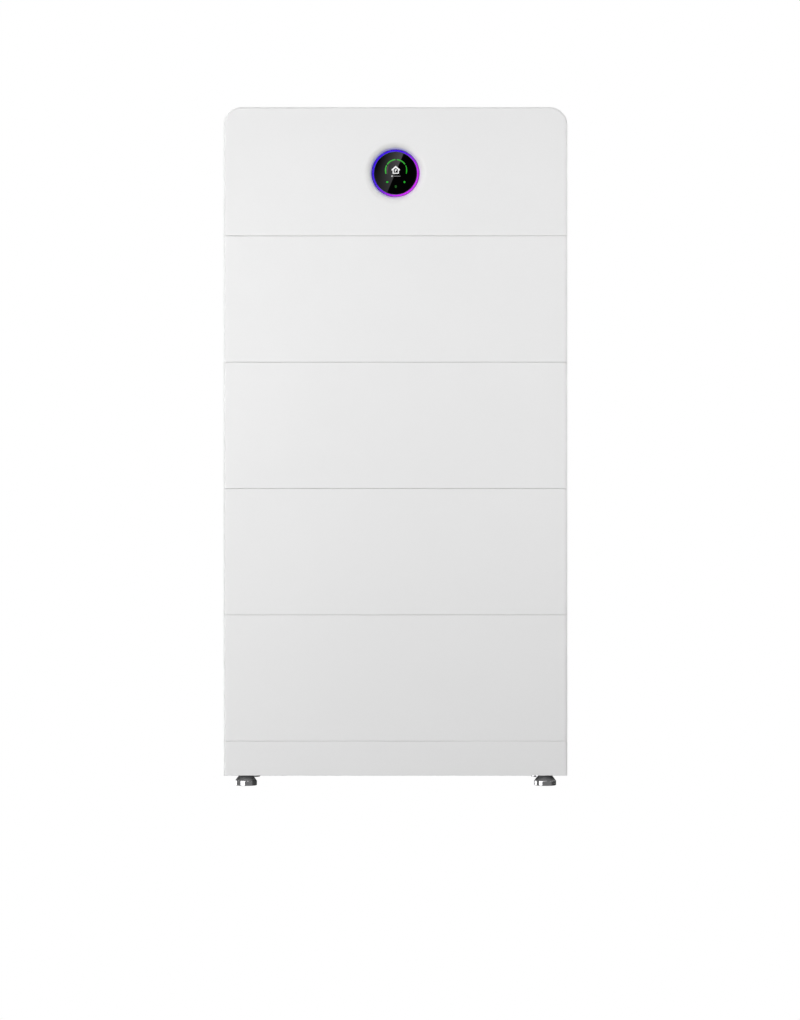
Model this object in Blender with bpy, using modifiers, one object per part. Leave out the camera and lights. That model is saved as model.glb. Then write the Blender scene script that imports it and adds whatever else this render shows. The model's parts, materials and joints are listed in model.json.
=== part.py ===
"""Stackable home battery tower.

A steel plinth on four levelling feet carries four identical battery modules
and a control head with a round display.  Row frame: +X to the right of
somebody facing the tower, -Y towards them, +Z up, origin on the floor in the
middle of the footprint (wall brackets included).  Dimensions are millimetres
and are turned into metres when the meshes are made.
"""

import math

import bmesh
import bpy
from mathutils import Matrix, Vector

MM = 0.001

# ---------------------------------------------------------------- dimensions
WIDTH = 600.0
HALF = WIDTH / 2
FRONT_Y = -135.0          # face of the front covers
JOIN_Y = -120.0           # where cover and case meet
REAR_Y = 115.0            # back panels
BRACKET_Y = 135.0         # wall face of the brackets
FOOT_H = 19.0
BASE_H = 60.0
MODULE_H = 220.5
HEAD_H = 225.0
MODULES = 4
SHEET = 2.0               # sheet steel
SEAM = 0.6                # shadow gap between front covers
GAP = 0.3                 # clearance where one piece rests on another
FRONT_R = 4.5             # rounding of the front edges
REAR_R = 6.0              # rounding of the rear upright edges
HEAD_R = 31.0             # upper corners of the control head

BASE_TOP = FOOT_H + BASE_H
HEAD_Z = BASE_TOP + MODULES * MODULE_H
TOP_Z = HEAD_Z + HEAD_H

FOOT_X = 262.0
FOOT_YS = {"front": -105.0, "rear": 85.0}
PAD_R, PAD_TOP_R = 19.3, 11.0
STUD_R = 5.0
WEB_Z = 26.0              # underside of the plate that the studs screw into

GRIP_Y, GRIP_Z = -10.0, 160.0      # centre of a side grip, module height
GRIP_L, GRIP_H, GRIP_D = 110.0, 34.0, 29.0

PLUG_X = 215.0            # stack connectors
PLUG_RISE = 8.5

DISPLAY_Z = 1071.0
DISPLAY_HOLE_R = 42.3
DISPLAY_FLARE = 11.5

RECESS_Y, RECESS_Z = -10.0, 1066.0
RECESS_L, RECESS_H = 150.0, 120.0
RECESS_FLOOR = 264.0
KNOB_Y, KNOB_Z = -48.0, 1084.0
BUTTON_Y, BUTTON_Z = -48.0, 1032.0

# ------------------------------------------------------------------ the scene
for old in list(bpy.data.objects):
    bpy.data.objects.remove(old)


def collection(name):
    made = bpy.data.collections.new(name)
    bpy.context.scene.collection.children.link(made)
    return made


TOWER = collection("battery_tower")
CUTTERS = collection("cutters")


def material(name, colour, roughness, metallic=0.0, emission=None):
    made = bpy.data.materials.new(name)
    made.use_nodes = True
    shader = made.node_tree.nodes["Principled BSDF"]
    shader.inputs["Base Color"].default_value = (*colour, 1.0)
    shader.inputs["Roughness"].default_value = roughness
    shader.inputs["Metallic"].default_value = metallic
    if emission:
        shader.inputs["Emission Color"].default_value = (*emission, 1.0)
        shader.inputs["Emission Strength"].default_value = 2.0
    made.diffuse_color = (*colour, 1.0)
    return made


WHITE = material("white_powder_coat", (0.80, 0.80, 0.80), 0.45)
ZINC = material("galvanised_steel", (0.55, 0.56, 0.57), 0.38, 1.0)
DARK_CHROME = material("dark_chrome", (0.18, 0.18, 0.19), 0.18, 1.0)
STEEL = material("bright_steel", (0.62, 0.62, 0.63), 0.28, 1.0)
BLACK = material("black_plastic", (0.025, 0.025, 0.027), 0.5)
GREY = material("grey_plastic", (0.18, 0.19, 0.20), 0.5)
GLASS = material("display_glass", (0.004, 0.004, 0.005), 0.05)
RING = material("light_ring", (0.25, 0.05, 0.8), 0.3, 0.0, (0.25, 0.02, 0.9))
BOARD = material("circuit_board", (0.02, 0.16, 0.07), 0.45)
CELLS = material("cell_block", (0.07, 0.16, 0.33), 0.35, 0.2)
ORANGE = material("orange_plastic", (0.85, 0.22, 0.02), 0.45)


# -------------------------------------------------------------------- helpers
def empty(name, z=0.0, parent=None):
    made = bpy.data.objects.new(name, None)
    made.empty_display_size = 0.03
    made.location = (0, 0, z * MM)
    made.parent = parent
    TOWER.objects.link(made)
    return made


def put(name, mesh, mat=None, at=(0, 0, 0), turn=(0, 0, 0), parent=None, where=None):
    made = bpy.data.objects.new(name, mesh)
    made.location = Vector(at) * MM
    made.rotation_euler = turn
    made.parent = parent
    (where or TOWER).objects.link(made)
    if mat and not mesh.materials:
        mesh.materials.append(mat)
    return made


def helper(name, mesh, at=(0, 0, 0), turn=(0, 0, 0)):
    made = put(name, mesh, None, at, turn, None, CUTTERS)
    made.hide_render = True
    made.display_type = "WIRE"
    return made


def face_outwards(bm):
    """Turns every face of a closed shape outwards."""
    bm.normal_update()
    bmesh.ops.recalc_face_normals(bm, faces=bm.faces)
    if bm.calc_volume(signed=True) < 0:
        bmesh.ops.reverse_faces(bm, faces=bm.faces)


def box_mesh(name, low, high):
    """A cube primitive stretched between two corners."""
    bm = bmesh.new()
    bmesh.ops.create_cube(bm, size=1.0)
    size = [h - l for l, h in zip(low, high)]
    middle = [(h + l) / 2 for l, h in zip(low, high)]
    bmesh.ops.scale(bm, vec=Vector(size) * MM, verts=bm.verts)
    bmesh.ops.translate(bm, vec=Vector(middle) * MM, verts=bm.verts)
    mesh = bpy.data.meshes.new(name)
    bm.to_mesh(mesh)
    bm.free()
    return mesh


def rod_mesh(name, radius, low, high, steps=20, radius_top=None):
    """A closed cylinder or cone along Z, made as a cone primitive with its caps."""
    bm = bmesh.new()
    bmesh.ops.create_cone(
        bm,
        cap_ends=True,
        segments=steps,
        radius1=radius * MM,
        radius2=(radius if radius_top is None else radius_top) * MM,
        depth=(high - low) * MM,
    )
    bmesh.ops.translate(bm, vec=(0, 0, (high + low) / 2 * MM), verts=bm.verts)
    mesh = bpy.data.meshes.new(name)
    bm.to_mesh(mesh)
    bm.free()
    return mesh


def rounded_outline(x0, x1, y0, y1, radii, steps=4):
    """Corner points, anticlockwise from lower left; radii follow the same order."""
    corners = (
        (x0, y0, 1, 1, 180),
        (x1, y0, -1, 1, 270),
        (x1, y1, -1, -1, 0),
        (x0, y1, 1, -1, 90),
    )
    points = []
    for (cx, cy, sx, sy, start), r in zip(corners, radii):
        if r <= 0:
            points.append((cx, cy))
            continue
        for i in range(steps + 1):
            a = math.radians(start + 90 * i / steps)
            points.append((cx + sx * r + r * math.cos(a), cy + sy * r + r * math.sin(a)))
    return points


def plate_mesh(name, outline, low, high, plane="XY"):
    """A filled 2D curve extruded from low to high along its normal.

    plane XY extrudes along Z, XZ along Y, YZ along X.
    """
    curve = bpy.data.curves.new(name + "_outline", "CURVE")
    curve.dimensions = "2D"
    curve.fill_mode = "BOTH"
    curve.extrude = (high - low) / 2 * MM
    spline = curve.splines.new("POLY")
    spline.points.add(len(outline) - 1)
    for point, (a, b) in zip(spline.points, outline):
        point.co = (a * MM, b * MM, 0, 1)
    spline.use_cyclic_u = True
    guide = bpy.data.objects.new(name + "_outline", curve)
    TOWER.objects.link(guide)
    bpy.context.view_layer.update()
    graph = bpy.context.evaluated_depsgraph_get()
    mesh = bpy.data.meshes.new_from_object(guide.evaluated_get(graph))
    bpy.data.objects.remove(guide)
    bpy.data.curves.remove(curve)
    middle = (high + low) / 2 * MM
    stand = {
        "XY": Matrix.Translation((0, 0, middle)),
        "XZ": Matrix.Translation((0, middle, 0)) @ Matrix.Rotation(math.pi / 2, 4, "X"),
        "YZ": Matrix(((0, 0, 1, middle), (1, 0, 0, 0), (0, 1, 0, 0), (0, 0, 0, 1))),
    }[plane]
    bm = bmesh.new()
    bm.from_mesh(mesh)
    bmesh.ops.remove_doubles(bm, verts=bm.verts, dist=1e-6)
    flats = [f for f in bm.faces if abs(f.normal.z) > 0.5 or f.calc_area() < 1e-12]
    bmesh.ops.delete(bm, geom=flats, context="FACES")
    rims = [e for e in bm.edges if e.is_boundary]
    bmesh.ops.holes_fill(bm, edges=rims, sides=0)
    bm.transform(stand)
    face_outwards(bm)
    bm.to_mesh(mesh)
    bm.free()
    mesh.name = name
    return mesh


def turned_mesh(name, profile, steps=32, closed=False):
    """A profile of (radius, height) points turned about Z with a Screw modifier."""
    bm = bmesh.new()
    row = [bm.verts.new((r * MM, 0, z * MM)) for r, z in profile]
    for a, b in zip(row, row[1:]):
        bm.edges.new((a, b))
    if closed:
        bm.edges.new((row[-1], row[0]))
    mesh = bpy.data.meshes.new(name + "_profile")
    bm.to_mesh(mesh)
    bm.free()
    guide = bpy.data.objects.new(name + "_profile", mesh)
    TOWER.objects.link(guide)
    screw = guide.modifiers.new("turn", "SCREW")
    screw.axis = "Z"
    screw.angle = math.tau
    screw.steps = steps
    screw.render_steps = steps
    screw.use_merge_vertices = True
    screw.merge_threshold = 1e-6
    bpy.context.view_layer.update()
    graph = bpy.context.evaluated_depsgraph_get()
    made = bpy.data.meshes.new_from_object(guide.evaluated_get(graph))
    bpy.data.objects.remove(guide)
    bm = bmesh.new()
    bm.from_mesh(made)
    bmesh.ops.remove_doubles(bm, verts=bm.verts, dist=1e-6)
    face_outwards(bm)
    bm.to_mesh(made)
    bm.free()
    made.name = name
    return made


def lay(mesh, turn=None, at=(0, 0, 0)):
    """Turns and moves a mesh's points, for a shape that was made along Z."""
    matrix = Matrix.Translation(Vector(at) * MM)
    if turn == "front":       # +Z becomes -Y
        matrix = matrix @ Matrix.Rotation(math.pi / 2, 4, "X")
    elif turn == "right":     # +Z becomes +X
        matrix = matrix @ Matrix.Rotation(math.pi / 2, 4, "Y")
    mesh.transform(matrix)
    return mesh


def carve(mesh, cuts=(), joins=()):
    """The mesh with other meshes joined to it and then cut from it, by exact Booleans."""
    work = bpy.data.objects.new("work", mesh)
    TOWER.objects.link(work)
    tools = []
    for operation, others in (("UNION", joins), ("DIFFERENCE", cuts)):
        for other in others:
            tool = helper(f"{mesh.name}_{operation.lower()}", other)
            tools.append(tool)
            boolean = work.modifiers.new(operation.lower(), "BOOLEAN")
            boolean.operation = operation
            boolean.solver = "EXACT"
            boolean.object = tool
    bpy.context.view_layer.update()
    graph = bpy.context.evaluated_depsgraph_get()
    made = bpy.data.meshes.new_from_object(work.evaluated_get(graph))
    bpy.data.objects.remove(work)
    for tool in tools:
        bpy.data.objects.remove(tool)
    for angle in (0.2, 0.0):
        bm = bmesh.new()
        bm.from_mesh(made)
        bmesh.ops.remove_doubles(bm, verts=bm.verts, dist=1e-6)
        if angle:
            bmesh.ops.dissolve_limit(
                bm, angle_limit=math.radians(angle), verts=bm.verts, edges=bm.edges
            )
        bmesh.ops.triangulate(bm, faces=bm.faces)
        closed = all(len(e.link_faces) == 2 for e in bm.edges)
        if closed or not angle:
            bm.to_mesh(made)
        bm.free()
        if closed:
            break
    made.name = mesh.name
    made.materials.clear()
    return made


def round_off(mesh, test, width, segments=3):
    """Bevels the edges whose two end points both pass the test."""
    bm = bmesh.new()
    bm.from_mesh(mesh)
    edges = [e for e in bm.edges if all(test(v.co / MM) for v in e.verts)]
    bmesh.ops.bevel(
        bm,
        geom=edges,
        offset=width * MM,
        offset_type="OFFSET",
        segments=segments,
        profile=0.5,
        affect="EDGES",
        clamp_overlap=False,
    )
    bm.to_mesh(mesh)
    bm.free()
    return mesh


def smooth(obj, angle=35):
    obj.data.shade_smooth()
    obj.data.set_sharp_from_angle(angle=math.radians(angle))
    return obj


# ------------------------------------------------------------ shared meshes
def tray_outline(inset=0.0, y_end=JOIN_Y):
    """Plan of a front cover: square at the back, rounded at the two front edges."""
    r = max(FRONT_R - inset, 1.0)
    return rounded_outline(
        -HALF + inset, HALF - inset, FRONT_Y + inset, y_end, (r, r, 0, 0), 4
    )


def case_outline(inset=0.0, y_start=JOIN_Y + GAP):
    r = REAR_R - inset
    return rounded_outline(
        -HALF + inset, HALF - inset, y_start, REAR_Y - inset, (0, 0, r, r), 3
    )


def module_cover():
    outer = plate_mesh("module_cover", tray_outline(), SEAM / 2, MODULE_H - SEAM / 2)
    hollow = plate_mesh(
        "hollow",
        tray_outline(SHEET, JOIN_Y + 5),
        SEAM / 2 + SHEET,
        MODULE_H - SEAM / 2 - SHEET,
    )
    return carve(outer, [hollow])


def grip_opening(grow=0.0):
    return rounded_outline(
        GRIP_Y - GRIP_L / 2 - grow,
        GRIP_Y + GRIP_L / 2 + grow,
        GRIP_Z - GRIP_H / 2 - grow,
        GRIP_Z + GRIP_H / 2 + grow,
        (9 + grow,) * 4,
        3,
    )


def module_case():
    low, high = 0.2, MODULE_H - 0.2
    outer = plate_mesh("module_case", case_outline(), low, high)
    hollow = plate_mesh(
        "hollow", case_outline(SHEET, JOIN_Y - 10), low + SHEET, high - SHEET
    )
    grips = plate_mesh("grips", grip_opening(), -HALF - 10, HALF + 10, "YZ")
    plug_hole = box_mesh("plug_hole", (PLUG_X - 12.6, -30.6, high - 8), (PLUG_X + 12.6, 30.6, high + 8))
    socket_hole = box_mesh("socket_hole", (PLUG_X - 14, -32, low - 8), (PLUG_X + 14, 32, low + 8))
    return carve(outer, [hollow, grips, plug_hole, socket_hole])


def grip_cup():
    """Moulded finger pocket for the right-hand side, opening towards +X."""
    back = HALF - GRIP_D
    cup = plate_mesh("grip_cup", grip_opening(-GAP), back, HALF - 0.2, "YZ")
    flange = plate_mesh("flange", grip_opening(6.0), HALF - SHEET - GAP - 2.5, HALF - SHEET - GAP, "YZ")
    pocket = plate_mesh("pocket", grip_opening(-GAP - 2.5), back + 2.5, HALF + 10, "YZ")
    return carve(cup, [pocket], [flange])


def mirrored_x(mesh, name):
    made = mesh.copy()
    made.name = name
    made.transform(Matrix.Scale(-1, 4, (1, 0, 0)))
    made.flip_normals()
    return made


def cell_block():
    """Two rows of sixteen upright prismatic cells with end plates, straps and busbars."""
    x0, x1, y0, y1 = -262.0, 190.0, -102.0, 94.0
    end, pitch, groove = 10.0, (x1 - x0 - 20.0) / 16, 1.6
    front, back = [(x0, y0)], []
    for i in range(1, 16):
        x = x0 + end + i * pitch
        deep = groove + 0.004 * i * (16 - i)      # a slight bow, deepest in the middle
        front += [(x - groove, y0), (x, y0 + deep), (x + groove, y0)]
        back += [(x - groove, y1), (x, y1 - deep), (x + groove, y1)]
    front.append((x1, y0))
    outline = front + [(x1, y1)] + back[::-1] + [(x0, y1)]
    block = plate_mesh("cell_block", outline, 2.6, 152.0)
    bars = []
    for row, y in enumerate((-70.0, -36.0, 28.0, 62.0)):
        shift = pitch if row in (1, 3) else 0.0
        for i in range(0, 16 - (1 if shift else 0), 4):
            x = x0 + end + shift + i * pitch
            bars.append(
                box_mesh("busbar", (x + 5, y - 9, 151.0), (x + 2 * pitch - 5, y + 9, 156.0))
            )
    channel = box_mesh("channel", (x0 - 5, -8, 148.0), (x1 + 5, 0, 160.0))
    return carve(block, [channel], bars)


def bms_board():
    """Upright monitoring board on the end of the cell block, parts towards +X."""
    board = box_mesh("bms_board", (196.0, -88, 30), (198.0, 80, 188))
    parts = [
        box_mesh("relay", (197, -80, 40), (222, -40, 76)),
        box_mesh("fuse", (197, -80, 90), (214, -56, 150)),
        box_mesh("shunt", (197, -30, 44), (208, 20, 60)),
        box_mesh("heat_sink", (197, 30, 44), (218, 70, 110)),
        box_mesh("processor", (197, -20, 100), (200.5, 4, 124)),
        box_mesh("header", (197, -40, 160), (207, 10, 176)),
        box_mesh("choke", (197, 30, 130), (213, 60, 160)),
    ]
    for y in (-78, 70):
        for z in (36, 140):
            parts.append(lay(rod_mesh("standoff", 3.5, 0, 6.6, 10), "right", (190.4, y, z)))
    return carve(board, [], parts)


def stack_plug():
    """Blind-mate plug; height zero is the top face of the sheet it stands in."""
    body = box_mesh("stack_plug", (PLUG_X - 12, -30, -22), (PLUG_X + 12, 30, PLUG_RISE))
    flange = box_mesh("flange", (PLUG_X - 18, -36, -5.6), (PLUG_X + 18, 36, -2.3))
    slots = [
        box_mesh("slot", (PLUG_X - 5, y - 9, PLUG_RISE - 5), (PLUG_X + 5, y + 9, PLUG_RISE + 5))
        for y in (-17, 17)
    ]
    return carve(body, slots, [flange])


def stack_socket():
    """Blind-mate socket; height zero is the underside of the sheet it stands on."""
    body = box_mesh("stack_socket", (PLUG_X - 18, -36, 2.3), (PLUG_X + 18, 36, 24))
    mouth = box_mesh("mouth", (PLUG_X - 13, -31, -5), (PLUG_X + 13, 31, 11))
    tongues = [
        box_mesh("tongue", (PLUG_X - 2, y - 6, 4.0), (PLUG_X + 2, y + 6, 12))
        for y in (-17, 17)
    ]
    return carve(carve(body, [mouth]), [], tongues)


# ------------------------------------------------------------------ the base
def build_base():
    root = empty("base")
    low, high = FOOT_H, BASE_TOP - 0.2
    plan = rounded_outline(
        -HALF, HALF, FRONT_Y, REAR_Y, (FRONT_R, FRONT_R, REAR_R, REAR_R), 4
    )
    outer = plate_mesh("base_plinth", plan, low, high)
    inner_plan = rounded_outline(
        -HALF + SHEET, HALF - SHEET, FRONT_Y + SHEET, REAR_Y - SHEET, (2.5, 2.5, 4, 4), 3
    )
    hollow = plate_mesh("hollow", inner_plan, low - 10, high - SHEET)
    plug_hole = box_mesh(
        "plug_hole", (PLUG_X - 12.6, -30.6, high - 8), (PLUG_X + 12.6, 30.6, high + 8)
    )
    put("base_plinth", carve(outer, [hollow, plug_hole]), WHITE, parent=root)

    deck = high - SHEET - GAP
    web = WEB_Z
    sides = []
    for sign in (-1, 1):
        x = FOOT_X * sign
        channel = [
            (x - 23, web), (x + 23, web), (x + 23, deck), (x + 20, deck),
            (x + 20, web + 4), (x - 20, web + 4), (x - 20, deck), (x - 23, deck),
        ]
        sides.append(plate_mesh("channel", channel, -130, 110, "XZ"))
    tie = box_mesh("tie", (-FOOT_X, -40, web), (FOOT_X, 20, web + 4))
    rib = box_mesh("rib", (-FOOT_X, -12, web + 2), (FOOT_X, -8, web + 28))
    holes = [
        lay(rod_mesh("hole", STUD_R + 0.5, web - 10, web + 14, 20), None, (sx * FOOT_X, y, 0))
        for sx in (-1, 1)
        for y in FOOT_YS.values()
    ]
    frame = carve(sides[0], [], [sides[1], tie, rib])
    frame.name = "base_subframe"
    put("base_subframe", carve(frame, holes), ZINC, parent=root)

    pad = turned_mesh(
        "foot_pad",
        [
            (0, 9.2), (5.9, 9.2), (5.9, 16.0), (6.6, 18.2), (PAD_TOP_R, 18.2),
            (PAD_R - 0.6, 9.4), (PAD_R, 8.6), (PAD_R, 1.2), (PAD_R - 1.2, 0.0), (0, 0.0),
        ],
        28,
    )
    shank = turned_mesh(
        "foot_stud",
        [
            (0, 66.0), (STUD_R - 1, 66.0), (STUD_R, 65.0), (STUD_R, 15.2),
            (5.4, 14.2), (5.4, 10.6), (4.4, 9.8), (0, 9.8),
        ],
        16,
    )
    nut = rod_mesh("nut", 8.66, 20.2, 25.4, 6)
    stud = carve(shank, [], [nut])
    stud.name = "foot_stud"
    for side, sx in (("left", -1), ("right", 1)):
        for end, y in FOOT_YS.items():
            at = (sx * FOOT_X, y, 0)
            smooth(put(f"foot_pad_{end}_{side}", pad, DARK_CHROME, at, parent=root), 30)
            smooth(put(f"foot_stud_{end}_{side}", stud, STEEL, at, parent=root), 30)
    return root


# --------------------------------------------------------------- the modules
def build_modules():
    cover, case = module_cover(), module_case()
    right_cup = grip_cup()
    left_cup = mirrored_x(right_cup, "grip_cup_left")
    block, board = cell_block(), bms_board()
    plug, socket = stack_plug(), stack_socket()
    put("base_stack_plug", plug, ORANGE, (0, 0, BASE_TOP - 0.2))
    for i in range(MODULES):
        z = BASE_TOP + i * MODULE_H
        name = f"battery_{i + 1}"
        root = empty(name, z)
        smooth(put(f"{name}_front_cover", cover, WHITE, parent=root))
        smooth(put(f"{name}_case", case, WHITE, parent=root))
        put(f"{name}_grip_right", right_cup, BLACK, parent=root)
        put(f"{name}_grip_left", left_cup, BLACK, parent=root)
        put(f"{name}_cell_block", block, CELLS, parent=root)
        put(f"{name}_bms_board", board, BOARD, parent=root)
        put(f"{name}_stack_plug", plug, ORANGE, (0, 0, MODULE_H - 0.2), parent=root)
        put(f"{name}_stack_socket", socket, ORANGE, (0, 0, 0.2), parent=root)
    return socket


# ------------------------------------------------------------------ the head
def head_outline(inset=0.0, low=0.0):
    r = HEAD_R - inset
    return rounded_outline(
        -HALF + inset, HALF - inset, HEAD_Z + low, TOP_Z - inset, (0, 0, r, r), 8
    )


def recess_outline(grow=0.0):
    return rounded_outline(
        RECESS_Y - RECESS_L / 2 - grow,
        RECESS_Y + RECESS_L / 2 + grow,
        RECESS_Z - RECESS_H / 2 - grow,
        RECESS_Z + RECESS_H / 2 + grow,
        (12 + grow,) * 4,
        3,
    )


def build_head(socket):
    root = empty("control_head")

    # sheet-steel case, open at the front
    outer = plate_mesh("head_case", head_outline(0, 0.2), JOIN_Y + GAP, REAR_Y, "XZ")
    outer = round_off(
        outer, lambda p: p.y > REAR_Y - 0.5 and p.z > HEAD_Z + 1, 4.0, 2
    )
    hollow = plate_mesh(
        "hollow", head_outline(SHEET, 0.2 + SHEET), JOIN_Y - 10, REAR_Y - SHEET, "XZ"
    )
    window = plate_mesh("window", recess_outline(), HALF - 20, HALF + 10, "YZ")
    socket_hole = box_mesh(
        "socket_hole", (PLUG_X - 14, -32, HEAD_Z - 8), (PLUG_X + 14, 32, HEAD_Z + 8)
    )
    case = carve(outer, [hollow, window, socket_hole])
    smooth(put("head_case", case, WHITE, parent=root))

    # front cover with the rolled-in display opening
    outer = plate_mesh("head_front_cover", head_outline(0, SEAM / 2), FRONT_Y, JOIN_Y, "XZ")
    outer = round_off(
        outer, lambda p: p.y < FRONT_Y + 0.5 and p.z > HEAD_Z + 1, FRONT_R, 3
    )
    hollow = plate_mesh(
        "hollow", head_outline(SHEET, SEAM / 2 + SHEET), FRONT_Y + SHEET, JOIN_Y + 5, "XZ"
    )
    shell = carve(outer, [hollow])
    axis = (0, 0, DISPLAY_Z)
    collar_r = DISPLAY_HOLE_R + DISPLAY_FLARE + 3
    collar = lay(rod_mesh("collar", collar_r, -JOIN_Y + 1, -FRONT_Y - 1, 40), "front", axis)
    flare = [(0, -FRONT_Y + 4)]
    flare.append((DISPLAY_HOLE_R + DISPLAY_FLARE + 0.6, -FRONT_Y + 4))
    for i in range(7):
        a = math.radians(90 * i / 6)
        flare.append(
            (
                DISPLAY_HOLE_R + DISPLAY_FLARE * (1 - math.sin(a)),
                -FRONT_Y - DISPLAY_FLARE * (1 - math.cos(a)),
            )
        )
    flare += [(DISPLAY_HOLE_R, -JOIN_Y - 6), (0, -JOIN_Y - 6)]
    trumpet = lay(turned_mesh("flare", flare, 40), "front", axis)
    cover = carve(shell, [trumpet], [collar])
    cover.name = "head_front_cover"
    smooth(put("head_front_cover", cover, WHITE, parent=root))

    # round display: light guide, lens, screen and board
    ring = turned_mesh(
        "display_light_ring",
        [
            (37.4, 127.0), (38.4, 127.8), (40.6, 127.8), (41.9, 127.0),
            (41.9, 121.1), (37.4, 121.1),
        ],
        48,
        closed=True,
    )
    smooth(put("display_light_ring", lay(ring, "front", axis), RING, parent=root), 50)
    lens = turned_mesh(
        "display_lens",
        [(0, 128.0), (36.0, 128.0), (37.0, 127.2), (37.0, 125.0), (0, 125.0)],
        48,
    )
    smooth(put("display_lens", lay(lens, "front", axis), GLASS, parent=root), 20)
    screen = turned_mesh(
        "display_board",
        [
            (0, 124.6), (36.6, 124.6), (36.6, 120.7), (50.0, 120.7), (50.0, 118.9),
            (0, 118.9),
        ],
        36,
    )
    header = box_mesh("header", (-16, -119.5, DISPLAY_Z - 40), (16, -110, DISPLAY_Z - 28))
    chip = box_mesh("chip", (-10, -119.5, DISPLAY_Z - 10), (12, -115.5, DISPLAY_Z + 12))
    board = carve(lay(screen, "front", axis), [], [header, chip])
    board.name = "display_board"
    put("display_board", board, BOARD, parent=root)

    # main board on the rear wall, parts facing forwards
    plate = box_mesh("control_board", (-180, 88, 985), (180, 90, 1150))
    parts = [
        box_mesh("heat_sink", (-160, 46, 1000), (-60, 89, 1100)),
        box_mesh("capacitor_bank", (-40, 52, 1000), (40, 89, 1034)),
        box_mesh("choke", (70, 50, 1000), (130, 89, 1050)),
        box_mesh("processor", (-10, 84, 1070), (30, 89, 1110)),
        box_mesh("radio", (60, 82, 1090), (100, 89, 1130)),
        box_mesh("terminals", (120, 70, 1080), (168, 89, 1140)),
        box_mesh("power_supply", (-160, 60, 1112), (-80, 89, 1142)),
    ]
    for x in (-170, 170):
        for z in (995, 1140):
            parts.append(
                lay(rod_mesh("standoff", 4, -112.7, -89, 10), "front", (x, 0, z))
            )
    put("control_board", carve(plate, [], parts), BOARD, parent=root)

    # main contactor on the floor of the head
    floor = HEAD_Z + 0.2 + SHEET + GAP
    body = box_mesh("main_contactor", (-262, -40, floor + 4), (-202, 30, floor + 74))
    foot = box_mesh("foot", (-268, -52, floor), (-196, 42, floor + 5))
    studs = [
        rod_mesh("stud", 5, floor + 70, floor + 88, 12) for _ in range(2)
    ]
    for stud, y in zip(studs, (-24, 14)):
        lay(stud, None, (-232, y, 0))
    wall = box_mesh("wall", (-254, -7, floor + 70), (-210, -3, floor + 86))
    put("main_contactor", carve(body, [], [foot, *studs, wall]), GREY, parent=root)

    # recessed service panel in the right-hand side
    tray = plate_mesh("service_panel", recess_outline(-GAP), RECESS_FLOOR, HALF - 0.2, "YZ")
    flange = plate_mesh(
        "flange", recess_outline(8), HALF - SHEET - GAP - 3, HALF - SHEET - GAP, "YZ"
    )
    pocket = plate_mesh("pocket", recess_outline(-GAP - 3), RECESS_FLOOR + 3, HALF + 10, "YZ")
    cuts = [pocket]
    for y, z, r in (
        (KNOB_Y, KNOB_Z, 5.4),
        (BUTTON_Y, BUTTON_Z, 9.4),
        (10, 1096, 8.5),
        (10, 1052, 8.5),
        (44, 1074, 10.5),
    ):
        cuts.append(lay(rod_mesh("hole", r, -10, 10, 20), "right", (RECESS_FLOOR, y, z)))
    put("service_panel", carve(tray, cuts, [flange]), GREY, parent=root)

    face = RECESS_FLOOR + 3 + GAP       # outer face of the panel floor
    inner = RECESS_FLOOR - GAP          # its inner face
    switch = box_mesh(
        "isolator_body",
        (inner - 58, KNOB_Y - 24, KNOB_Z - 26),
        (inner, KNOB_Y + 24, KNOB_Z + 26),
    )
    bore = lay(rod_mesh("bore", 5.4, -14, 6, 20), "right", (inner, KNOB_Y, KNOB_Z))
    put("isolator_body", carve(switch, [bore]), GREY, parent=root)

    # the knob turns about X; its origin is on that axis
    knob = turned_mesh(
        "isolator_knob",
        [
            (0, 10.0), (19.5, 10.0), (21.0, 8.5), (21.0, 0.0), (5.0, 0.0),
            (5.0, -14.0), (0, -14.0),
        ],
        32,
    )
    grip = plate_mesh(
        "grip", rounded_outline(-5.5, 5.5, -20, 20, (4,) * 4, 3), 8, 27
    )
    knob = carve(knob, [], [grip])
    knob.name = "isolator_knob"
    smooth(
        put("isolator_knob", lay(knob, "right"), BLACK, (face, KNOB_Y, KNOB_Z), parent=root),
        30,
    )

    # the start button slides along X
    button = turned_mesh(
        "start_button",
        [
            (0, 9.0), (7.6, 9.0), (8.9, 7.8), (8.9, -4.2), (12.0, -4.2),
            (12.0, -8.0), (0, -8.0),
        ],
        28,
    )
    smooth(
        put("start_button", lay(button, "right"), STEEL, (face, BUTTON_Y, BUTTON_Z), parent=root),
        30,
    )

    # panel terminals: threaded barrel through the floor, collar outside
    terminal = turned_mesh(
        "terminal",
        [
            (0, 20.0), (6.2, 20.0), (7.4, 19.0), (7.4, 8.0), (11.5, 8.0), (12.5, 7.0),
            (12.5, 0.0), (8.0, 0.0), (8.0, -16.0), (0, -16.0),
        ],
        24,
    )
    for name, z in (("power_terminal_positive", 1096), ("power_terminal_negative", 1052)):
        mat = ORANGE if name.endswith("positive") else BLACK
        mesh = terminal.copy()
        smooth(put(name, lay(mesh, "right"), mat, (face, 10, z), parent=root), 30)
    port = turned_mesh(
        "comms_port",
        [
            (0, 17.0), (12.0, 17.0), (13.5, 15.5), (13.5, 0.0), (10.0, 0.0),
            (10.0, -18.0), (0, -18.0),
        ],
        24,
    )
    smooth(put("comms_port", lay(port, "right"), BLACK, (face, 44, 1074), parent=root), 30)

    put("head_stack_socket", socket, ORANGE, (0, 0, HEAD_Z + 0.2), parent=root)

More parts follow.
